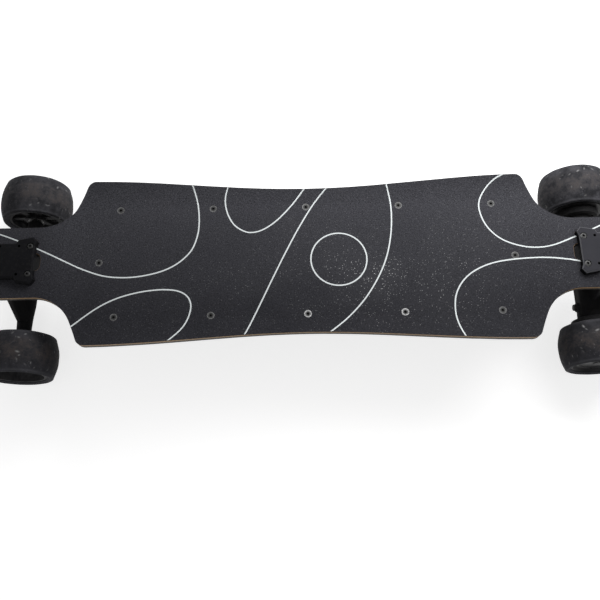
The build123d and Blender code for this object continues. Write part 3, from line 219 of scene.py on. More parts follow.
def colour(red, green, blue):
    """Opaque colour from linear light values."""
    return (red, green, blue, 1.0)


# The glow that makes the floor pale is only seen. It lights nothing, and shadows stay on it.
floor_finish = Finish("studio_floor", Roughness=0.9, Emission_Strength=FLOOR_GLOW)
cloud = floor_finish.noise(2.0, 2.0)
floor_finish.wire(
    Base_Color=floor_finish.blend(cloud, colour(0.49, 0.49, 0.49), colour(0.51, 0.51, 0.51)),
    Emission_Color=floor_finish.blend(floor_finish.shown(), colour(0, 0, 0), colour(1, 1, 1)),
)
corners = [(x * FLOOR_REACH, y * FLOOR_REACH, 0) for x, y in ((-1, -1), (1, -1), (1, 1), (-1, 1))]
floor_mesh = bpy.data.meshes.new("studio_floor")
floor_mesh.from_pydata(corners, [], [(0, 1, 2, 3)])
floor_mesh.materials.append(floor_finish.material)
floor = bpy.data.objects.new("studio_floor", floor_mesh)
bpy.context.scene.collection.objects.link(floor)

# The dome is white where it is seen, and lights the board at a plain level.
world = bpy.data.worlds.new("studio_dome")
world.use_nodes = True
bpy.context.scene.world = world
dome = Graph(world.node_tree)
backdrop = dome.tree.nodes["Background"]
backdrop.inputs["Color"].default_value = colour(1, 1, 1)
strength = dome.node("MapRange", {}, {
    "Value": dome.shown(), "To Min": DOME_LIGHT, "To Max": 1.0,
})
dome.tree.links.new(strength.socket, backdrop.inputs["Strength"])


def softbox(name, place, aim_at, width, depth, watts):
    """A rectangular lamp at a place, turned to face a point."""
    lamp = bpy.data.lights.new(name, "AREA")
    lamp.shape = "RECTANGLE"
    lamp.size = width
    lamp.size_y = depth
    lamp.energy = watts
    box = bpy.data.objects.new(name, lamp)
    turn_to = (Vector(place) - Vector(aim_at)).to_track_quat("Z", "Y").to_matrix().to_4x4()
    box.matrix_world = Matrix.Translation(place) @ turn_to
    bpy.context.scene.collection.objects.link(box)


softbox("far_softbox", (0.3, 0.42, 0.55), (0.1, 0.0, 0.1), width=1.2, depth=0.3, watts=9.5)
softbox("near_softbox", (-0.2, -1.5, 0.65), (-0.1, 0.0, 0.1), width=1.6, depth=0.4, watts=7)


def dress(finish, *names):
    """Gives CAD nodes their finish."""
    for name in names:
        for slot in nodes[name].material_slots:
            slot.material = finish


# ---------------------------------------------------------------- deck
# A maple deck pressed from eight plies, dished between raised rails and stepped up at either neck,
# its lower plies and underside coloured black. The upper plies show pale and brown at the sanded
# edge. A thin pale rim is left round the truck slots, and their walls below it are painted
# near-black as painted shade down in the slots.
DECK_THICKNESS = 0.0115
PLIES = 8
PLY = DECK_THICKNESS / PLIES
RAIL_START = 0.080
RAIL_RADIUS = 0.093
NECK_RISE = 0.0075
RISE_START = 0.305
RISE_END = 0.370
SLOT_INNER_END = 0.365
SLOT_REACH = 0.0145
SLOT_RIM = 0.0024

maple = Finish("maple_plies", Specular_IOR_Level=0.2)
spot_x = abs(maple.part(0))
spot_y = abs(maple.part(1))
spot_z = maple.part(2)
# How far a spot lies below the top of the grip: its distance from the axis of the rail's arc, or
# from the level of that axis over the flat floor, less the arc's radius. The neck's rise is added.
along = (spot_x - RISE_START) / (RISE_END - RISE_START)
along = along.most(0.0).least(1.0)
below, above = along.least(0.5), along.most(0.5) - 0.5
rise = (below * below * 2.0 + above * 2.0 - above * above * 2.0) * NECK_RISE
outward = (spot_y - RAIL_START).most(0.0)
downward = (grip_top + RAIL_RADIUS) - spot_z + rise
depth = (outward * outward + downward * downward) ** 0.5 - RAIL_RADIUS
layer = (depth - GRIP_THICKNESS) / PLY
glue = abs(maple.node("Math", {"operation": "FRACT"}, {0: layer}) - 0.5) * 2.0
glue = maple.ramp(glue, (0.0, 0.0), (0.84, 0.0), (0.97, 1.0))
turn = maple.node("Math", {"operation": "FLOOR"}, {0: layer})
turn = maple.node("Math", {"operation": "FRACT"}, {0: turn * 0.37})
fibre = maple.noise(60.0, 5.0, 0.6, maple.stretch((0.6, 6.0, 14.0)))
pale = maple.blend(fibre, colour(0.37, 0.255, 0.148), colour(0.24, 0.155, 0.084))
brown = maple.blend(fibre, colour(0.31, 0.205, 0.11), colour(0.2, 0.125, 0.062))
plies = maple.blend(turn, pale, brown)
plies = maple.blend(glue * 0.7, plies, colour(0.09, 0.05, 0.025))
# The black begins 4.5 mm down and is full at 6 mm.
dark_below = maple.ramp(depth * 80.0 + (fibre - 0.5) * 0.05, (0.0, 0.0), (0.36, 0.0), (0.48, 1.0))
# Painted shade: inside the truck slots the walls below the pale rim are painted near-black.
slot_painted_shade = (spot_x > SLOT_INNER_END) * (spot_y < SLOT_REACH)
dark_below = dark_below.most(slot_painted_shade * (depth > SLOT_RIM))
under = maple.blend(fibre, colour(0.018, 0.016, 0.015), colour(0.034, 0.03, 0.027))
maple_finish = maple.wire(
    Base_Color=maple.blend(dark_below, plies, maple.blend(slot_painted_shade, under, colour(0.003, 0.003, 0.003))),
    Roughness=0.42 + fibre * 0.25,
    Normal=maple.bump(fibre - glue * 0.4, 0.0003, 0.5),
)
dress(maple_finish, "deck")


# ---------------------------------------------------------------- grip sheet
# Black silicon-carbide grip glued over the whole deck. The grit is coarse and greyed where shoes
# rub it. Painted light makes it lighter towards the far side and darker towards the near side, and
# bright specks on single grains are painted glints.
SHOE_X = 0.12
SHOE_Y = -0.03
SHOE_LENGTH = 0.13
SHOE_WIDTH = 0.055

grit = Finish("grip_grit", Specular_IOR_Level=0.1)
coarse = grit.noise(520.0, 4.0, 0.75)
fine = grit.noise(1150.0, 2.0, 0.6)
grain = grit.ramp(coarse * 0.55 + fine * 0.45, (0.38, 0.0), (0.64, 1.0))
foot_x = (grit.part(0) - SHOE_X) / SHOE_LENGTH
foot_y = (grit.part(1) - SHOE_Y) / SHOE_WIDTH
underfoot = 1.0 / (foot_x * foot_x + foot_y * foot_y + 1.0)
rubbed = grit.ramp(grit.noise(9.0, 4.0, 0.6), (0.3, 0.1), (0.6, 1.0)) * (underfoot + 0.15)
# Painted glints: bright specks on single grains, brightest where shoes rub.
painted_glint = grit.cells(480.0, "Color")
painted_glint = grit.part(0, painted_glint) * (1.0 - grit.cells(480.0) * 1.3)
painted_glint = grit.ramp(painted_glint, (0.52, 0.0), (0.68, 1.0))
# Painted light: the grit is lighter towards the far side and darker towards the near side, in soft
# clouds.
grit_far_light = grit.part(1) * 5.0 + 0.35 + grit.noise(6.0) * 0.3
grit_far_light = grit.ramp(grit_far_light, (0.1, 0.0), (0.9, 1.0))
grit_near_shade = grit.blend(grain, colour(0.0055, 0.0055, 0.0068), colour(0.030, 0.030, 0.036))
black = grit.blend(grain, colour(0.0130, 0.0130, 0.0155), colour(0.059, 0.059, 0.068))
black = grit.blend(grit_far_light, grit_near_shade, black)
black = grit.blend(rubbed * 0.22, black, colour(0.07, 0.07, 0.076))
black = grit.blend(painted_glint * (0.06 + rubbed * rubbed * 1.5), black, colour(0.3, 0.3, 0.305))
grit_finish = grit.wire(
    Base_Color=black,
    Roughness=0.92 - painted_glint * 0.4,
    Normal=grit.bump(coarse * 0.6 + fine * 0.4 + painted_glint * 0.3, 0.0007, 0.75),
)
dress(grit_finish, "grip_sheet")


# ---------------------------------------------------------------- pinstripes
# White vinyl lines laid over the grit in long loops from edge to edge, with a plain ring
# in the middle of the deck. They lie on the dished surface and end at the sheet's edge.
STRIPE_WIDTH = 0.0019
STRIPE_RISE = 0.00025
STRIPE_SINK = 0.0002
STRIPE_INSET = 0.0006
WAIST_HALF = 0.1077
SHOULDER_SWELL = 0.0145
SHOULDER_X = 0.311
SHOULDER_HALF = 0.1222
CORNER_X = 0.309
CORNER_HALF = 0.1215
CUT_SLOPE = 2.225
NECK_HALF = 0.0524
RING_X = 0.045
RING_Y = -0.001
RING_RADIUS = 0.0393
SMOOTH_ANGLE = math.radians(40.0)


def mesh_piece(name, points, faces, finish):
    """A new mesh object from points and faces, with smooth shading. Its normals point the way the
    order of each face's points gives.
    """
    mesh = bpy.data.meshes.new(name)
    mesh.from_pydata(points.reshape(-1, 3).tolist(), [], faces.tolist())
    mesh.materials.append(finish)
    mesh.polygons.foreach_set("use_smooth", np.ones(len(mesh.polygons), bool))
    mesh.set_sharp_from_angle(angle=SMOOTH_ANGLE)
    piece = bpy.data.objects.new(name, mesh)
    bpy.context.scene.collection.objects.link(piece)
    return piece


def grid_faces(rows, columns, close_rows, close_columns):
    """Quads over a grid of points numbered row by row, joined end to end where a way is closed."""
    row = np.arange(rows if close_rows else rows - 1)[:, None]
    column = np.arange(columns if close_columns else columns - 1)[None, :]
    next_row = (row + 1) % rows
    next_column = (column + 1) % columns
    quads = np.stack([
        row * columns + column, next_row * columns + column,
        next_row * columns + next_column, row * columns + next_column,
    ], axis=-1)
    return quads.reshape(-1, 4)


def smooth_path(anchors, steps):
    """Catmull-Rom curve through the anchors: between two of them each point is the cubic whose
    tangent at either anchor is half the step from the anchor before it to the one after it."""
    a = np.array(anchors, float)
    a = np.vstack([2 * a[0] - a[1], a, 2 * a[-1] - a[-2]])
    t = np.linspace(0, 1, steps, endpoint=False)[None, :, None]
    p0, p1, p2, p3 = (a[i:len(a) - 3 + i, None, :] for i in range(4))
    curve = 0.5 * (
        2 * p1 + (p2 - p0) * t + (2 * p0 - 5 * p1 + 4 * p2 - p3) * t ** 2
        + (3 * p1 - p0 - 3 * p2 + p3) * t ** 3
    )
    return np.vstack([curve.reshape(-1, a.shape[1]), a[-2]])


def deck_half_width(x):
    """Half the deck's width at x: between the corners the waist and half a cosine wave out to the
    shoulders, and beyond them a straight slant in to the neck, level at its start and its end."""
    waist = WAIST_HALF + SHOULDER_SWELL * (1 - np.cos(np.pi * x / SHOULDER_X)) / 2
    slant = np.maximum(SHOULDER_HALF - (np.abs(x) - SHOULDER_X) * CUT_SLOPE, NECK_HALF)
    return np.where(np.abs(x) < CORNER_X, waist, np.minimum(slant, CORNER_HALF))


def grip_height(x, y):
    """Height of the grip at (x, y): across, flat and then an arc of the rail radius. Along, level
    and then up to the neck in an S-bend, whose halves are parabolas of half the rise each."""
    reach = np.clip(np.abs(y) - RAIL_START, 0, None)
    t = np.clip((np.abs(x) - RISE_START) / (RISE_END - RISE_START), 0, 1)
    step = NECK_RISE * np.where(t < 0.5, 2 * t ** 2, 1 - 2 * (1 - t) ** 2)
    return grip_top + step + RAIL_RADIUS - np.sqrt(RAIL_RADIUS ** 2 - reach ** 2)


def pinstripe(name, line, closed=False):
    """A flat ribbon along a line on the deck: at each point two edges half a width to either side
    of it, each sunk a little into the grip and raised a little over it, which makes a closed band
    of four faces round."""
    if closed:
        heading = np.roll(line, -1, 0) - np.roll(line, 1, 0)
    else:
        heading = np.gradient(line, axis=0)
    heading /= np.linalg.norm(heading, axis=1)[:, None]
    aside = np.stack([-heading[:, 1], heading[:, 0]], 1) * STRIPE_WIDTH / 2
    left, right = line + aside, line - aside
    rims = []
    for edge, rise in (
        (left, -STRIPE_SINK), (left, STRIPE_RISE), (right, STRIPE_RISE), (right, -STRIPE_SINK),
    ):
        limit = deck_half_width(edge[:, 0]) - STRIPE_INSET
        y = np.clip(edge[:, 1], -limit, limit)
        rims.append(np.stack([edge[:, 0], y, grip_height(edge[:, 0], y) + rise], 1))
    points = np.stack(rims, 1)
    faces = grid_faces(len(line), 4, closed, True)
    if not closed:
        last = (len(line) - 1) * 4
        faces = np.vstack([faces, [[0, 1, 2, 3]], [[last + 3, last + 2, last + 1, last]]])
    stripe = mesh_piece(name, points, faces, vinyl_finish)
    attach(stripe, "board")


vinyl = Finish("white_vinyl", Specular_IOR_Level=0.2)
scuff = vinyl.noise(420.0, 4.0, 0.7)
smudge = vinyl.noise(16.0, 3.0, 0.6)
white = vinyl.blend(scuff, colour(0.68, 0.72, 0.72), colour(0.54, 0.57, 0.575))
white = vinyl.blend(smudge * 0.3, white, colour(0.45, 0.47, 0.48))
vinyl_finish = vinyl.wire(
    Base_Color=white, Roughness=0.5 + scuff * 0.3, Normal=vinyl.bump(scuff, 0.0003, 0.6),
)

MM = 0.001
STRIPE_STEPS = 12
RING_STEPS = 160
stripe_anchors = {
    "stripe_front_loop": [
        (-462, 51), (-434, 43), (-406, 32), (-377, 19), (-341, 2), (-314, -10), (-285, -20),
        (-257, -23), (-230, -21), (-202, -14), (-180, -2), (-163, 16), (-155, 38), (-153, 60),
        (-155, 85), (-160, 106), (-165, 120),
    ],
    "stripe_near_arch": [
        (-325, -95), (-308, -80), (-287, -65), (-265, -54), (-242, -47), (-219, -43),
        (-196, -42), (-178, -45), (-166, -53), (-161, -66), (-164, -83), (-173, -100),
        (-190, -118),
    ],
    "stripe_far_cup": [
        (-111, 116), (-116, 95), (-113, 74), (-104, 56), (-92, 46), (-79, 42), (-62, 46),
        (-42, 60), (-20, 84), (2, 113),
    ],
    "stripe_slope": [
        (34, 113), (12, 86), (-10, 49), (-30, 10), (-49, -30), (-67, -69), (-88, -114),
    ],
    "stripe_bow": [
        (116, 117), (122, 85), (122, 54), (118, 24), (110, -5), (97, -33), (78, -62),
        (55, -87), (28, -110),
    ],
    "stripe_rear_loop": [
        (294, 126), (272, 115), (257, 99), (249, 80), (251, 60), (259, 42), (273, 27),
        (292, 17), (318, 11), (346, 12), (379, 24), (405, 35), (436, 50),
    ],
    "stripe_near_horn": [
        (212, -122), (204, -97), (202, -75), (206, -54), (218, -35), (236, -21), (261, -11),
        (293, -6), (327, -5), (360, -10), (381, -14),
    ],
}
for stripe_name, anchors in stripe_anchors.items():
    pinstripe(stripe_name, smooth_path(np.array(anchors) * MM, STRIPE_STEPS))
ring_angle = np.linspace(0, 2 * np.pi, RING_STEPS, endpoint=False)
ring_line = np.stack([
    RING_X + RING_RADIUS * np.cos(ring_angle), RING_Y + RING_RADIUS * np.sin(ring_angle),
], 1)
pinstripe("stripe_ring", ring_line, closed=True)


# ---------------------------------------------------------------- deck screws and truck bolts
# Flat-head socket screws in black oxide. Shoes have worn their top faces to grey steel, most of all
# on the near row under the rear foot, and the sockets stay black.
SCREW_PITCH = 0.1333
SCREW_ROW = 0.0806
END_SCREW = 0.2925
SCREW_HEAD = 0.0053
TRUCK_X = 0.4125
BOLT_X = 0.027
BOLT_Y = 0.02065
BOLT_HEAD = 0.0047
REAR_FOOT_X = 0.067
REAR_FOOT_Y = -0.08
REAR_FOOT_LENGTH = 0.075
REAR_FOOT_WIDTH = 0.05


def spacing(finish, axis, step):
    """How far a point lies from the nearest multiple of a step along an axis."""
    turns = finish.part(axis) / step + 0.5
    return abs(finish.node("Math", {"operation": "FRACT"}, {0: turns}) - 0.5) * step


def socket_screws(name, node, radius, rim, bare):
    """Black oxide, with bare steel where the head is worn: fully over its rim, and in specks as far
    in as the socket. radius gives the distance from the nearest screw's axis, rim is the head's
    radius, and bare gives how much of the head is worn."""
    oxide = Finish(name, Specular_IOR_Level=0.2)
    out = radius(oxide) / rim
    speck = oxide.ramp(oxide.noise(700.0, 4.0, 0.7), (0.4, 0.25), (0.62, 1.0))
    ring = oxide.ramp(out, (0.0, 0.0), (0.42, 0.0), (0.5, 0.3), (0.66, 0.3), (0.78, 1.0))
    cloudy = oxide.noise(120.0, 3.0)
    shine = ring * speck * bare(oxide)
    steel = oxide.blend(shine, colour(0.004, 0.004, 0.0045), colour(0.75, 0.75, 0.75))
    dress(oxide.wire(
        Base_Color=oxide.blend(cloudy * 0.2, steel, colour(0.012, 0.011, 0.01)),
        Roughness=0.4 + cloudy * 0.25,
        Normal=oxide.bump(speck, 0.0001, 0.4),
    ), node)


def from_deck_screw(oxide):
    """The screws stand in two rows at one pitch, with one more on the centre line at either end."""
    x, y = oxide.part(0), oxide.part(1)
    row_x, row_y = spacing(oxide, 0, SCREW_PITCH), abs(y) - SCREW_ROW
    end_x = abs(x) - END_SCREW
    return ((row_x * row_x + row_y * row_y) ** 0.5).least((end_x * end_x + y * y) ** 0.5)


def from_truck_bolt(oxide):
    """Four bolts to a truck, at the corners of the standard rectangle."""
    x = abs(abs(oxide.part(0)) - TRUCK_X) - BOLT_X
    y = abs(oxide.part(1)) - BOLT_Y
    return (x * x + y * y) ** 0.5


def deck_wear(oxide):
    """A little wear everywhere and a lot under the rear foot: one over one plus the fourth power of
    the distance along and the square of that across."""
    foot_x = (oxide.part(0) - REAR_FOOT_X) / REAR_FOOT_LENGTH
    foot_y = (oxide.part(1) - REAR_FOOT_Y) / REAR_FOOT_WIDTH
    return 0.2 + 1.05 / (foot_x * foot_x * foot_x * foot_x + foot_y * foot_y + 1.0)


def bolt_wear(oxide):
    """The rear truck's bolts are rubbed bright and the front one's are still nearly black."""
    return 0.07 + (oxide.part(0) > 0.0) * 0.25


socket_screws("deck_screw_oxide", "deck_screws", from_deck_screw, SCREW_HEAD, deck_wear)
socket_screws("truck_bolt_oxide", "truck_bolts", from_truck_bolt, BOLT_HEAD, bolt_wear)


# ---------------------------------------------------------------- baseplates
# Cast aluminium in satin black powder coat. The rear one is worn to dark grey on its top face, the
# bevel round it is painted lighter as a painted highlight, and its side walls are still black.
BEVEL = 0.0018


def coated_casting(name, deep, faded, sheen):
    """Powder-coated casting: two shades in soft clouds, fine orange peel and chipped specks. sheen
    is its least roughness. Gives the finish, its colour and its clouds."""
    coat = Finish(name, Specular_IOR_Level=0.012)
    clouds = coat.noise(45.0, 4.0, 0.6)
    peel = coat.noise(1500.0, 2.0, 0.5)
    dust = coat.ramp(coat.noise(240.0, 5.0, 0.75), (0.52, 0.0), (0.78, 1.0))
    tone = coat.blend(dust * 0.3, coat.blend(clouds, deep, faded), colour(0.04, 0.038, 0.036))
    coat.wire(
        Base_Color=tone,
        Roughness=sheen + clouds * 0.2 + dust * 0.1,
        Normal=coat.bump(peel + dust * 0.5, 0.00012, 0.5),
    )
    return coat, tone, clouds


front_plate, _, _ = coated_casting(
    "front_plate_coat", colour(0.006, 0.006, 0.0068), colour(0.0105, 0.0105, 0.0118), sheen=0.38)
dress(front_plate.material, "front_baseplate")

rear_plate, tone, clouds = coated_casting(
    "rear_plate_coat", colour(0.0025, 0.0025, 0.003), colour(0.006, 0.006, 0.0065), sheen=0.36)
drop = (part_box("rear_baseplate")[1].z - rear_plate.part(2)) / BEVEL
worn_top_and_bevel_highlight = rear_plate.blend(clouds, colour(0.0225, 0.0225, 0.0265), colour(0.034, 0.034, 0.039))
# Painted highlight: the bevel round the top face is painted lighter than the worn top.
bevel_painted_highlight = rear_plate.ramp(drop, (0.05, 0.0), (0.2, 1.0))
worn_top_and_bevel_highlight = rear_plate.blend(bevel_painted_highlight, worn_top_and_bevel_highlight, colour(0.07, 0.07, 0.076))
below_bevel = rear_plate.ramp(drop, (0.93, 0.0), (1.0, 1.0))
rear_plate.wire(Base_Color=rear_plate.blend(below_bevel, worn_top_and_bevel_highlight, tone))
dress(rear_plate.material, "rear_baseplate")


# ---------------------------------------------------------------- hangers and motor flanges
# Each hanger is one aluminium casting, with round arms in front and square arms behind, where a
# round flange closes the inner side of either motor. All are in satin black powder coat, dusty
# from the road.
hanger_coat, _, _ = coated_casting(
    "hanger_coat", colour(0.013, 0.013, 0.0145), colour(0.032, 0.0315, 0.032), sheen=0.4)
dress(hanger_coat.material, "front_hanger", "rear_hanger", "motor_flanges")


# ---------------------------------------------------------------- kingpins, axles and nuts
# Steel fasteners and shafts, zinc-plated with a faint yellow cast, streaked by the spanners that
# tightened them and dull in patches.
zinc = Finish("zinc_plate", Metallic=1.0)
streak = zinc.noise(220.0, 4.0, 0.6)
dull = zinc.noise(60.0, 3.0)
zinc_finish = zinc.wire(
    Base_Color=zinc.blend(streak, colour(0.52, 0.52, 0.5), colour(0.34, 0.335, 0.31)),
    Roughness=0.28 + dull * 0.3,
    Normal=zinc.bump(streak, 0.0001, 0.4),
)
dress(
    zinc_finish, "kingpins", "kingpin_nuts", "truck_lock_nuts", "boardside_cup_washers",
    "roadside_cup_washers", "front_axle", "front_axle_nuts", "motor_shafts",
)


# ---------------------------------------------------------------- bearings, spacers and speed rings
# Steel ball bearings with black rubber shields between their races, and bare steel rings beside
# them, all of them filmed with greasy road dust.
RACE_INNER = 0.0058
RACE_OUTER = 0.0092
axle_low, axle_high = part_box("front_left_bearings")
axle_x = abs(axle_low.x + axle_high.x) / 2
axle_z = (axle_low.z + axle_high.z) / 2

race = Finish("greasy_bearing_steel", Metallic=0.6)
race_x = abs(race.part(0)) - axle_x
race_z = race.part(2) - axle_z
race_radius = (race_x * race_x + race_z * race_z) ** 0.5
shield = (race_radius > RACE_INNER) * (race_radius < RACE_OUTER)
grease = race.ramp(race.noise(160.0, 5.0, 0.7), (0.3, 0.15), (0.6, 1.0))
race_tone = race.blend(grease * 0.9, colour(0.4, 0.4, 0.4), colour(0.022, 0.019, 0.016))
race_finish = race.wire(
    Base_Color=race.blend(shield, race_tone, colour(0.012, 0.012, 0.012)),
    Roughness=0.3 + grease * 0.4,
    Normal=race.bump(grease, 0.0001, 0.5),
)
dress(
    race_finish, "front_left_bearings", "front_right_bearings", "rear_left_motor_bearings",
    "rear_right_motor_bearings", "front_bearing_spacers", "front_speed_rings",
)


# ---------------------------------------------------------------- bushings and pivot cups
# Cast urethane, slightly waxy. The bushings stand between the kingpin washers and the hanger's
# ring, and the cups line the pivot towers round the hangers' pins.
urethane = Finish("black_urethane", Specular_IOR_Level=0.15)
waxy = urethane.noise(90.0, 3.0)
skin_grain = urethane.noise(700.0, 2.0)
urethane_finish = urethane.wire(
    Base_Color=urethane.blend(waxy, colour(0.01, 0.01, 0.0105), colour(0.024, 0.0235, 0.023)),
    Roughness=0.45 + waxy * 0.25,
    Normal=urethane.bump(skin_grain, 0.0002, 0.4),
)
dress(
    urethane_finish, "pivot_cups", "front_boardside_bushing", "front_roadside_bushing",
    "rear_boardside_bushing", "rear_roadside_bushing",
)


# ---------------------------------------------------------------- tyres
# Wide slick urethane tyres with a low crown and round lips, cast round their cores. They are
# scuffed grey, and painted light makes that grey lighter on the board's far side and darker on the
# near side. They are dirty along the middle and nicked white near the shoulders.
TYRE_RADIUS = 0.0525
TYRE_HALF = 0.030
TYRE_CROWN = 0.005
TYRE_LIP = 0.0035
TYRE_BORE = 0.038
TYRE_DISH = 0.002
BORE_EDGE = 0.006
TREAD_MARGIN = 0.004
TYRE_STEPS = 420
NICKS = 120
NICK_Y = 0.018
NICK_SCATTER = 0.008
NICK_LEAST = 0.0005
NICK_MOST = 0.0014
NICK_DEPTH = 0.0006
NICK_STRETCH = 2.2
WAVE_DEPTH = 0.00012
DIRT_HALF = 0.017
LIP_Y = 0.0275
LIP_BLUR = 0.0018

tread = Finish("worn_tread", Specular_IOR_Level=0.1)
spread = tread.ramp(tread.noise(55.0, 5.0, 0.7), (0.36, 0.0), (0.66, 1.0))
fleck = tread.noise(420.0, 4.0, 0.7)
nick = tread.node("Attribute", {"attribute_name": "nick"}, {}, "Fac")
middle = tread.node("Attribute", {"attribute_name": "middle"}, {}, "Fac")
lip = tread.node("Attribute", {"attribute_name": "lip"}, {}, "Fac")
# Painted light: the scuffed grey is lighter on the board's far side and darker on its near side.
tyre_far_light = tread.ramp(tread.part(1) * 4.0 + 0.5, (0.0, 0.0), (1.0, 1.0))
scuff_grey_and_far_light = tread.blend(tyre_far_light, colour(0.0205, 0.0205, 0.0245), colour(0.046, 0.046, 0.052))
rubber = tread.blend(spread, colour(0.0042, 0.0042, 0.0052), scuff_grey_and_far_light)
rubber = tread.blend(fleck * 0.24, rubber, colour(0.06, 0.06, 0.068))
dirt = tread.ramp(spread * 0.4 + fleck * 0.6, (0.4, 0.0), (0.7, 1.0))
rubber = tread.blend(middle * dirt * 0.55, rubber, colour(0.047, 0.037, 0.031))
rubber = tread.blend(lip * 0.35, rubber, colour(0.066, 0.066, 0.073))
scuff = tread.ramp(tread.noise(70.0, 6.0, 0.8) * 0.6 + fleck * 0.4, (0.58, 0.0), (0.66, 1.0))
rubber = tread.blend(scuff * 0.4, rubber, colour(0.15, 0.15, 0.165))
rubber = tread.blend(nick, rubber, colour(0.26, 0.26, 0.26))
tread_finish = tread.wire(
    Base_Color=rubber,
    Roughness=0.62 + fleck * 0.25,
    Normal=tread.bump(fleck + spread * 0.5, 0.0006, 0.5),
)


def tyre_profile():
    """Closed section, (radius, y) in order round it: the crown's arc, the lip's quarter circle, the
    side face sloping in to the bore, the bore, and the same back up the other side."""
    crown = TYRE_RADIUS - TYRE_CROWN
    reach = TYRE_HALF - TYRE_LIP
    bow = (reach ** 2 + TYRE_CROWN ** 2) / (2 * TYRE_CROWN)
    y = np.linspace(-reach, reach, 61)
    top = np.stack([TYRE_RADIUS - bow + np.sqrt(bow ** 2 - y ** 2), y], 1)
    sweep = np.linspace(0, np.pi / 2, 9)[1:]
    lip_arc = np.stack([
        crown - TYRE_LIP + TYRE_LIP * np.cos(sweep), reach + TYRE_LIP * np.sin(sweep),
    ], 1)
    run = np.linspace(0, 1, 6)[1:, None]
    start = np.array([crown - TYRE_LIP, TYRE_HALF])
    end = np.array([TYRE_BORE, TYRE_HALF - TYRE_DISH])
    face = start + (end - start) * run
    bore_y = np.linspace(TYRE_HALF - BORE_EDGE, -TYRE_HALF + BORE_EDGE, 5)
    bore = np.stack([np.full(5, TYRE_BORE), bore_y], 1)
    right = np.vstack([lip_arc, face])
    left = right[::-1] * [1, -1]
    return np.vstack([top, right, bore, left])


def make_tyre(name, body, node, seed):
    """The section swept round the axle: x = r cos a, z = r sin a. Nicks are small oval dents turned
    at random, and each takes its depth times exp(-distance squared / size squared) off the radius.
    So does a shallow wave of two sines round the tread, which is never below zero."""
    low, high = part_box(node)
    centre = (low + high) / 2
    section = tyre_profile()
    angle = np.linspace(0, 2 * np.pi, TYRE_STEPS, endpoint=False)
    r = np.broadcast_to(section[None, :, 0], (len(angle), len(section))).copy()
    y = np.broadcast_to(section[None, :, 1], r.shape)
    a = np.broadcast_to(angle[:, None], r.shape)
    dice = np.random.default_rng(seed)
    nick_a = dice.uniform(0, 2 * np.pi, NICKS)
    nick_y = dice.choice([-1, 1], NICKS) * np.abs(dice.normal(NICK_Y, NICK_SCATTER, NICKS))
    nick_size = dice.uniform(NICK_LEAST, NICK_MOST, NICKS)
    nick_turn = dice.uniform(0, np.pi, NICKS)
    nick_shade = dice.uniform(0.1, 0.9, NICKS) ** 2
    gap = ((a[..., None] - nick_a + np.pi) % (2 * np.pi) - np.pi) * TYRE_RADIUS
    aside = y[..., None] - nick_y
    long_way = gap * np.cos(nick_turn) + aside * np.sin(nick_turn)
    short_way = aside * np.cos(nick_turn) - gap * np.sin(nick_turn)
    dents = np.exp(-((long_way / NICK_STRETCH) ** 2 + short_way ** 2) / nick_size ** 2)
    on_tread = r > TYRE_BORE + TREAD_MARGIN
    wave = WAVE_DEPTH * (2 + np.sin(7 * a + seed) + np.sin(13 * a + 2 * seed + y * 260))
    r = r - np.where(on_tread, (dents * NICK_DEPTH).sum(-1) + wave, 0)
    points = np.stack([centre.x + r * np.cos(a), centre.y + y, centre.z + r * np.sin(a)], -1)
    tyre = mesh_piece(name, points, grid_faces(len(angle), len(section), True, True), tread_finish)
    marks = {
        "nick": np.where(on_tread, np.clip((dents * nick_shade).max(-1) * 1.2 - 0.1, 0, 1), 0),
        "middle": np.exp(-(y / DIRT_HALF) ** 4) * on_tread,
        "lip": np.exp(-((np.abs(y) - LIP_Y) / LIP_BLUR) ** 2) * on_tread,
    }
    for mark, values in marks.items():
        layer = tyre.data.attributes.new(mark, "FLOAT", "POINT")
        layer.data.foreach_set("value", values.ravel().astype(np.float32))
    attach(tyre, body)
    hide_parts(node)


make_tyre("front_left_worn_tyre", "front_left_wheel", "front_left_tyre", 3)
make_tyre("front_right_worn_tyre", "front_right_wheel", "front_right_tyre", 5)
make_tyre("rear_left_worn_tyre", "rear_left_wheel", "rear_left_tyre", 7)
make_tyre("rear_right_worn_tyre", "rear_right_wheel", "rear_right_tyre", 11)


# ---------------------------------------------------------------- front wheel cores
# Moulded cores of glass-filled nylon, with six spokes between the bearing hub and the rim that the
# tyre is cast on. Road dust dulls them to a flat grey.
core = Finish("dusty_core", Specular_IOR_Level=0.1)
dusting = core.ramp(core.noise(70.0, 5.0, 0.65), (0.35, 0.0), (0.7, 1.0))
glass_fill = core.noise(900.0, 2.0)
core_finish = core.wire(
    Base_Color=core.blend(dusting, colour(0.014, 0.014, 0.0155), colour(0.05, 0.049, 0.051)),
    Roughness=0.5 + dusting * 0.3,
    Normal=core.bump(glass_fill + dusting, 0.0002, 0.4),
)
dress(core_finish, "front_left_core", "front_right_core")


# ---------------------------------------------------------------- hub motors
# Anodised cans and covers, turned on a lathe, with nickel-plated magnets glued inside the can round
# a stack of varnished steel laminations and its coils of enamelled copper. The same nickel is on
# the strips that join the battery's cells.
turned = Finish("turned_anodised", Metallic=0.3, Specular_IOR_Level=0.1)
lathe = turned.noise(500.0, 3.0, 0.6)
grime = turned.ramp(turned.noise(55.0, 4.0, 0.6), (0.4, 0.0), (0.7, 1.0))
turned_finish = turned.wire(
    Base_Color=turned.blend(grime, colour(0.007, 0.007, 0.008), colour(0.020, 0.019, 0.020)),
    Roughness=0.36 + grime * 0.3,
    Normal=turned.bump(lathe, 0.0001, 0.5),
)
dress(
    turned_finish, "rear_left_motor_can", "rear_right_motor_can", "rear_left_motor_cover",
    "rear_right_motor_cover",
)

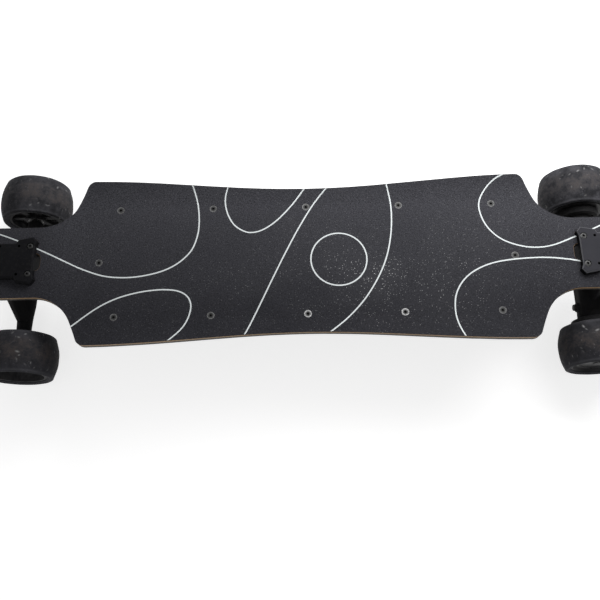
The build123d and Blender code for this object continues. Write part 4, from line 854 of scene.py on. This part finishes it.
LAMINATIONS_PER_METRE = 2000.0
stack = Finish("steel_laminations", Metallic=1.0)
sheet = stack.part(1) * LAMINATIONS_PER_METRE
sheet = stack.node("Math", {"operation": "FRACT"}, {0: sheet})
sheet = stack.ramp(sheet, (0.0, 0.0), (0.15, 1.0), (0.85, 1.0), (1.0, 0.0))
varnish = stack.noise(80.0, 3.0)
stack_finish = stack.wire(
    Base_Color=stack.blend(sheet, colour(0.08, 0.07, 0.06), colour(0.3, 0.3, 0.3)),
    Roughness=0.35 + varnish * 0.25,
    Normal=stack.bump(sheet, 0.0001, 0.5),
)
dress(stack_finish, "motor_stators")

coil = Finish("enamelled_copper", Metallic=0.9)
strand = coil.noise(800.0, 2.0, 0.5, coil.stretch((1.0, 0.15, 1.0)))
coil_finish = coil.wire(
    Base_Color=coil.blend(strand, colour(0.36, 0.13, 0.04), colour(0.62, 0.28, 0.1)),
    Roughness=0.25 + strand * 0.3,
    Normal=coil.bump(strand, 0.0003, 0.8),
)
dress(coil_finish, "motor_windings")

nickel = Finish("nickel_plate", Metallic=1.0)
brushed = nickel.noise(300.0, 3.0, 0.6, nickel.stretch((0.1, 1.0, 1.0)))
nickel_finish = nickel.wire(
    Base_Color=nickel.blend(brushed, colour(0.6, 0.58, 0.53), colour(0.46, 0.45, 0.42)),
    Roughness=0.22 + brushed * 0.25,
    Normal=nickel.bump(brushed, 0.00008, 0.5),
)
dress(nickel_finish, "rear_left_magnets", "rear_right_magnets", "nickel_strips")


# ---------------------------------------------------------------- battery box
# Black moulded ABS box with a fine spark-eroded grain, screwed up under the deck on a foam gasket,
# into brass inserts. It holds wrapped cells, their management board in green solder mask, and the
# motor controller in an anodised case on its finned heat sink.
abs_plastic = Finish("moulded_abs", Specular_IOR_Level=0.12)
spark = abs_plastic.noise(1400.0, 2.0, 0.5)
haze = abs_plastic.noise(18.0, 4.0, 0.6)
scrape = abs_plastic.noise(150.0, 5.0, 0.7, abs_plastic.stretch((0.12, 1.0, 1.0)))
scrape = abs_plastic.ramp(scrape, (0.6, 0.0), (0.72, 1.0))
abs_tone = abs_plastic.blend(haze, colour(0.016, 0.016, 0.017), colour(0.032, 0.0315, 0.032))
abs_finish = abs_plastic.wire(
    Base_Color=abs_plastic.blend(scrape * 0.4, abs_tone, colour(0.09, 0.09, 0.09)),
    Roughness=0.5 + haze * 0.2,
    Normal=abs_plastic.bump(spark, 0.00015, 0.6),
)
dress(abs_finish, "enclosure_shell", "cell_holders", "charge_socket")

foam = Finish("closed_foam", Roughness=0.95)
bubble = foam.cells(900.0)
foam_finish = foam.wire(
    Base_Color=foam.blend(bubble, colour(0.012, 0.012, 0.012), colour(0.035, 0.035, 0.035)),
    Normal=foam.bump(bubble, 0.0004, 0.8),
)
dress(foam_finish, "enclosure_gasket")

brass = Finish("knurled_brass", Metallic=1.0)
tarnish = brass.noise(140.0, 3.0)
knurl = brass.noise(1800.0, 1.0, 0.5, brass.stretch((1.0, 1.0, 0.1)))
brass_finish = brass.wire(
    Base_Color=brass.blend(tarnish, colour(0.62, 0.43, 0.16), colour(0.4, 0.27, 0.1)),
    Roughness=0.28 + tarnish * 0.2,
    Normal=brass.bump(knurl, 0.0003, 0.7),
)
dress(brass_finish, "threaded_inserts")

wrap = Finish("cell_wrap")
wrinkle = wrap.noise(110.0, 4.0, 0.6, wrap.stretch((1.0, 0.4, 1.0)))
wrap_finish = wrap.wire(
    Base_Color=wrap.blend(wrinkle, colour(0.01, 0.085, 0.19), colour(0.02, 0.13, 0.26)),
    Roughness=0.25 + wrinkle * 0.25,
    Normal=wrap.bump(wrinkle, 0.0003, 0.4),
)
dress(wrap_finish, "battery_cells")

mask = Finish("solder_mask")
tracks = mask.cells(260.0, "Distance", "DISTANCE_TO_EDGE")
tracks = mask.ramp(tracks, (0.0, 1.0), (0.06, 0.0))
mask_finish = mask.wire(
    Base_Color=mask.blend(tracks, colour(0.006, 0.05, 0.022), colour(0.02, 0.12, 0.05)),
    Roughness=0.3 + tracks * 0.2,
    Normal=mask.bump(tracks, 0.0001, 0.6),
)
dress(mask_finish, "battery_management_board")

anodised = Finish("grey_anodised", Metallic=0.85)
drawn = anodised.noise(240.0, 4.0, 0.6, anodised.stretch((0.05, 1.0, 1.0)))
anodised_finish = anodised.wire(
    Base_Color=anodised.blend(drawn, colour(0.05, 0.05, 0.053), colour(0.11, 0.11, 0.115)),
    Roughness=0.32 + drawn * 0.25,
    Normal=anodised.bump(drawn, 0.0001, 0.5),
)
dress(anodised_finish, "speed_controller", "heat_sink")


# ---------------------------------------------------------------- controls
# Turned steel power button in its bezel, and the soft dust cap that swings off the charging jack.
# The cable glands on the box and on the rear hanger are moulded from the box's own plastic.
spun = Finish("spun_steel", Metallic=1.0)
rings = spun.noise(700.0, 3.0, 0.6)
spun_finish = spun.wire(
    Base_Color=spun.blend(rings, colour(0.5, 0.5, 0.51), colour(0.33, 0.33, 0.34)),
    Roughness=0.25 + rings * 0.25,
    Normal=spun.bump(rings, 0.00008, 0.5),
)
dress(spun_finish, "power_button", "power_button_bezel")

soft = Finish("soft_rubber", Specular_IOR_Level=0.12)
bloom = soft.noise(60.0, 4.0, 0.6)
tooth = soft.noise(1300.0, 2.0)
soft_finish = soft.wire(
    Base_Color=soft.blend(bloom, colour(0.014, 0.014, 0.014), colour(0.034, 0.033, 0.032)),
    Roughness=0.7 + bloom * 0.2,
    Normal=soft.bump(tooth, 0.00015, 0.5),
)
dress(soft_finish, "charge_socket_cap")
dress(abs_finish, "enclosure_cable_glands", "hanger_cable_glands")
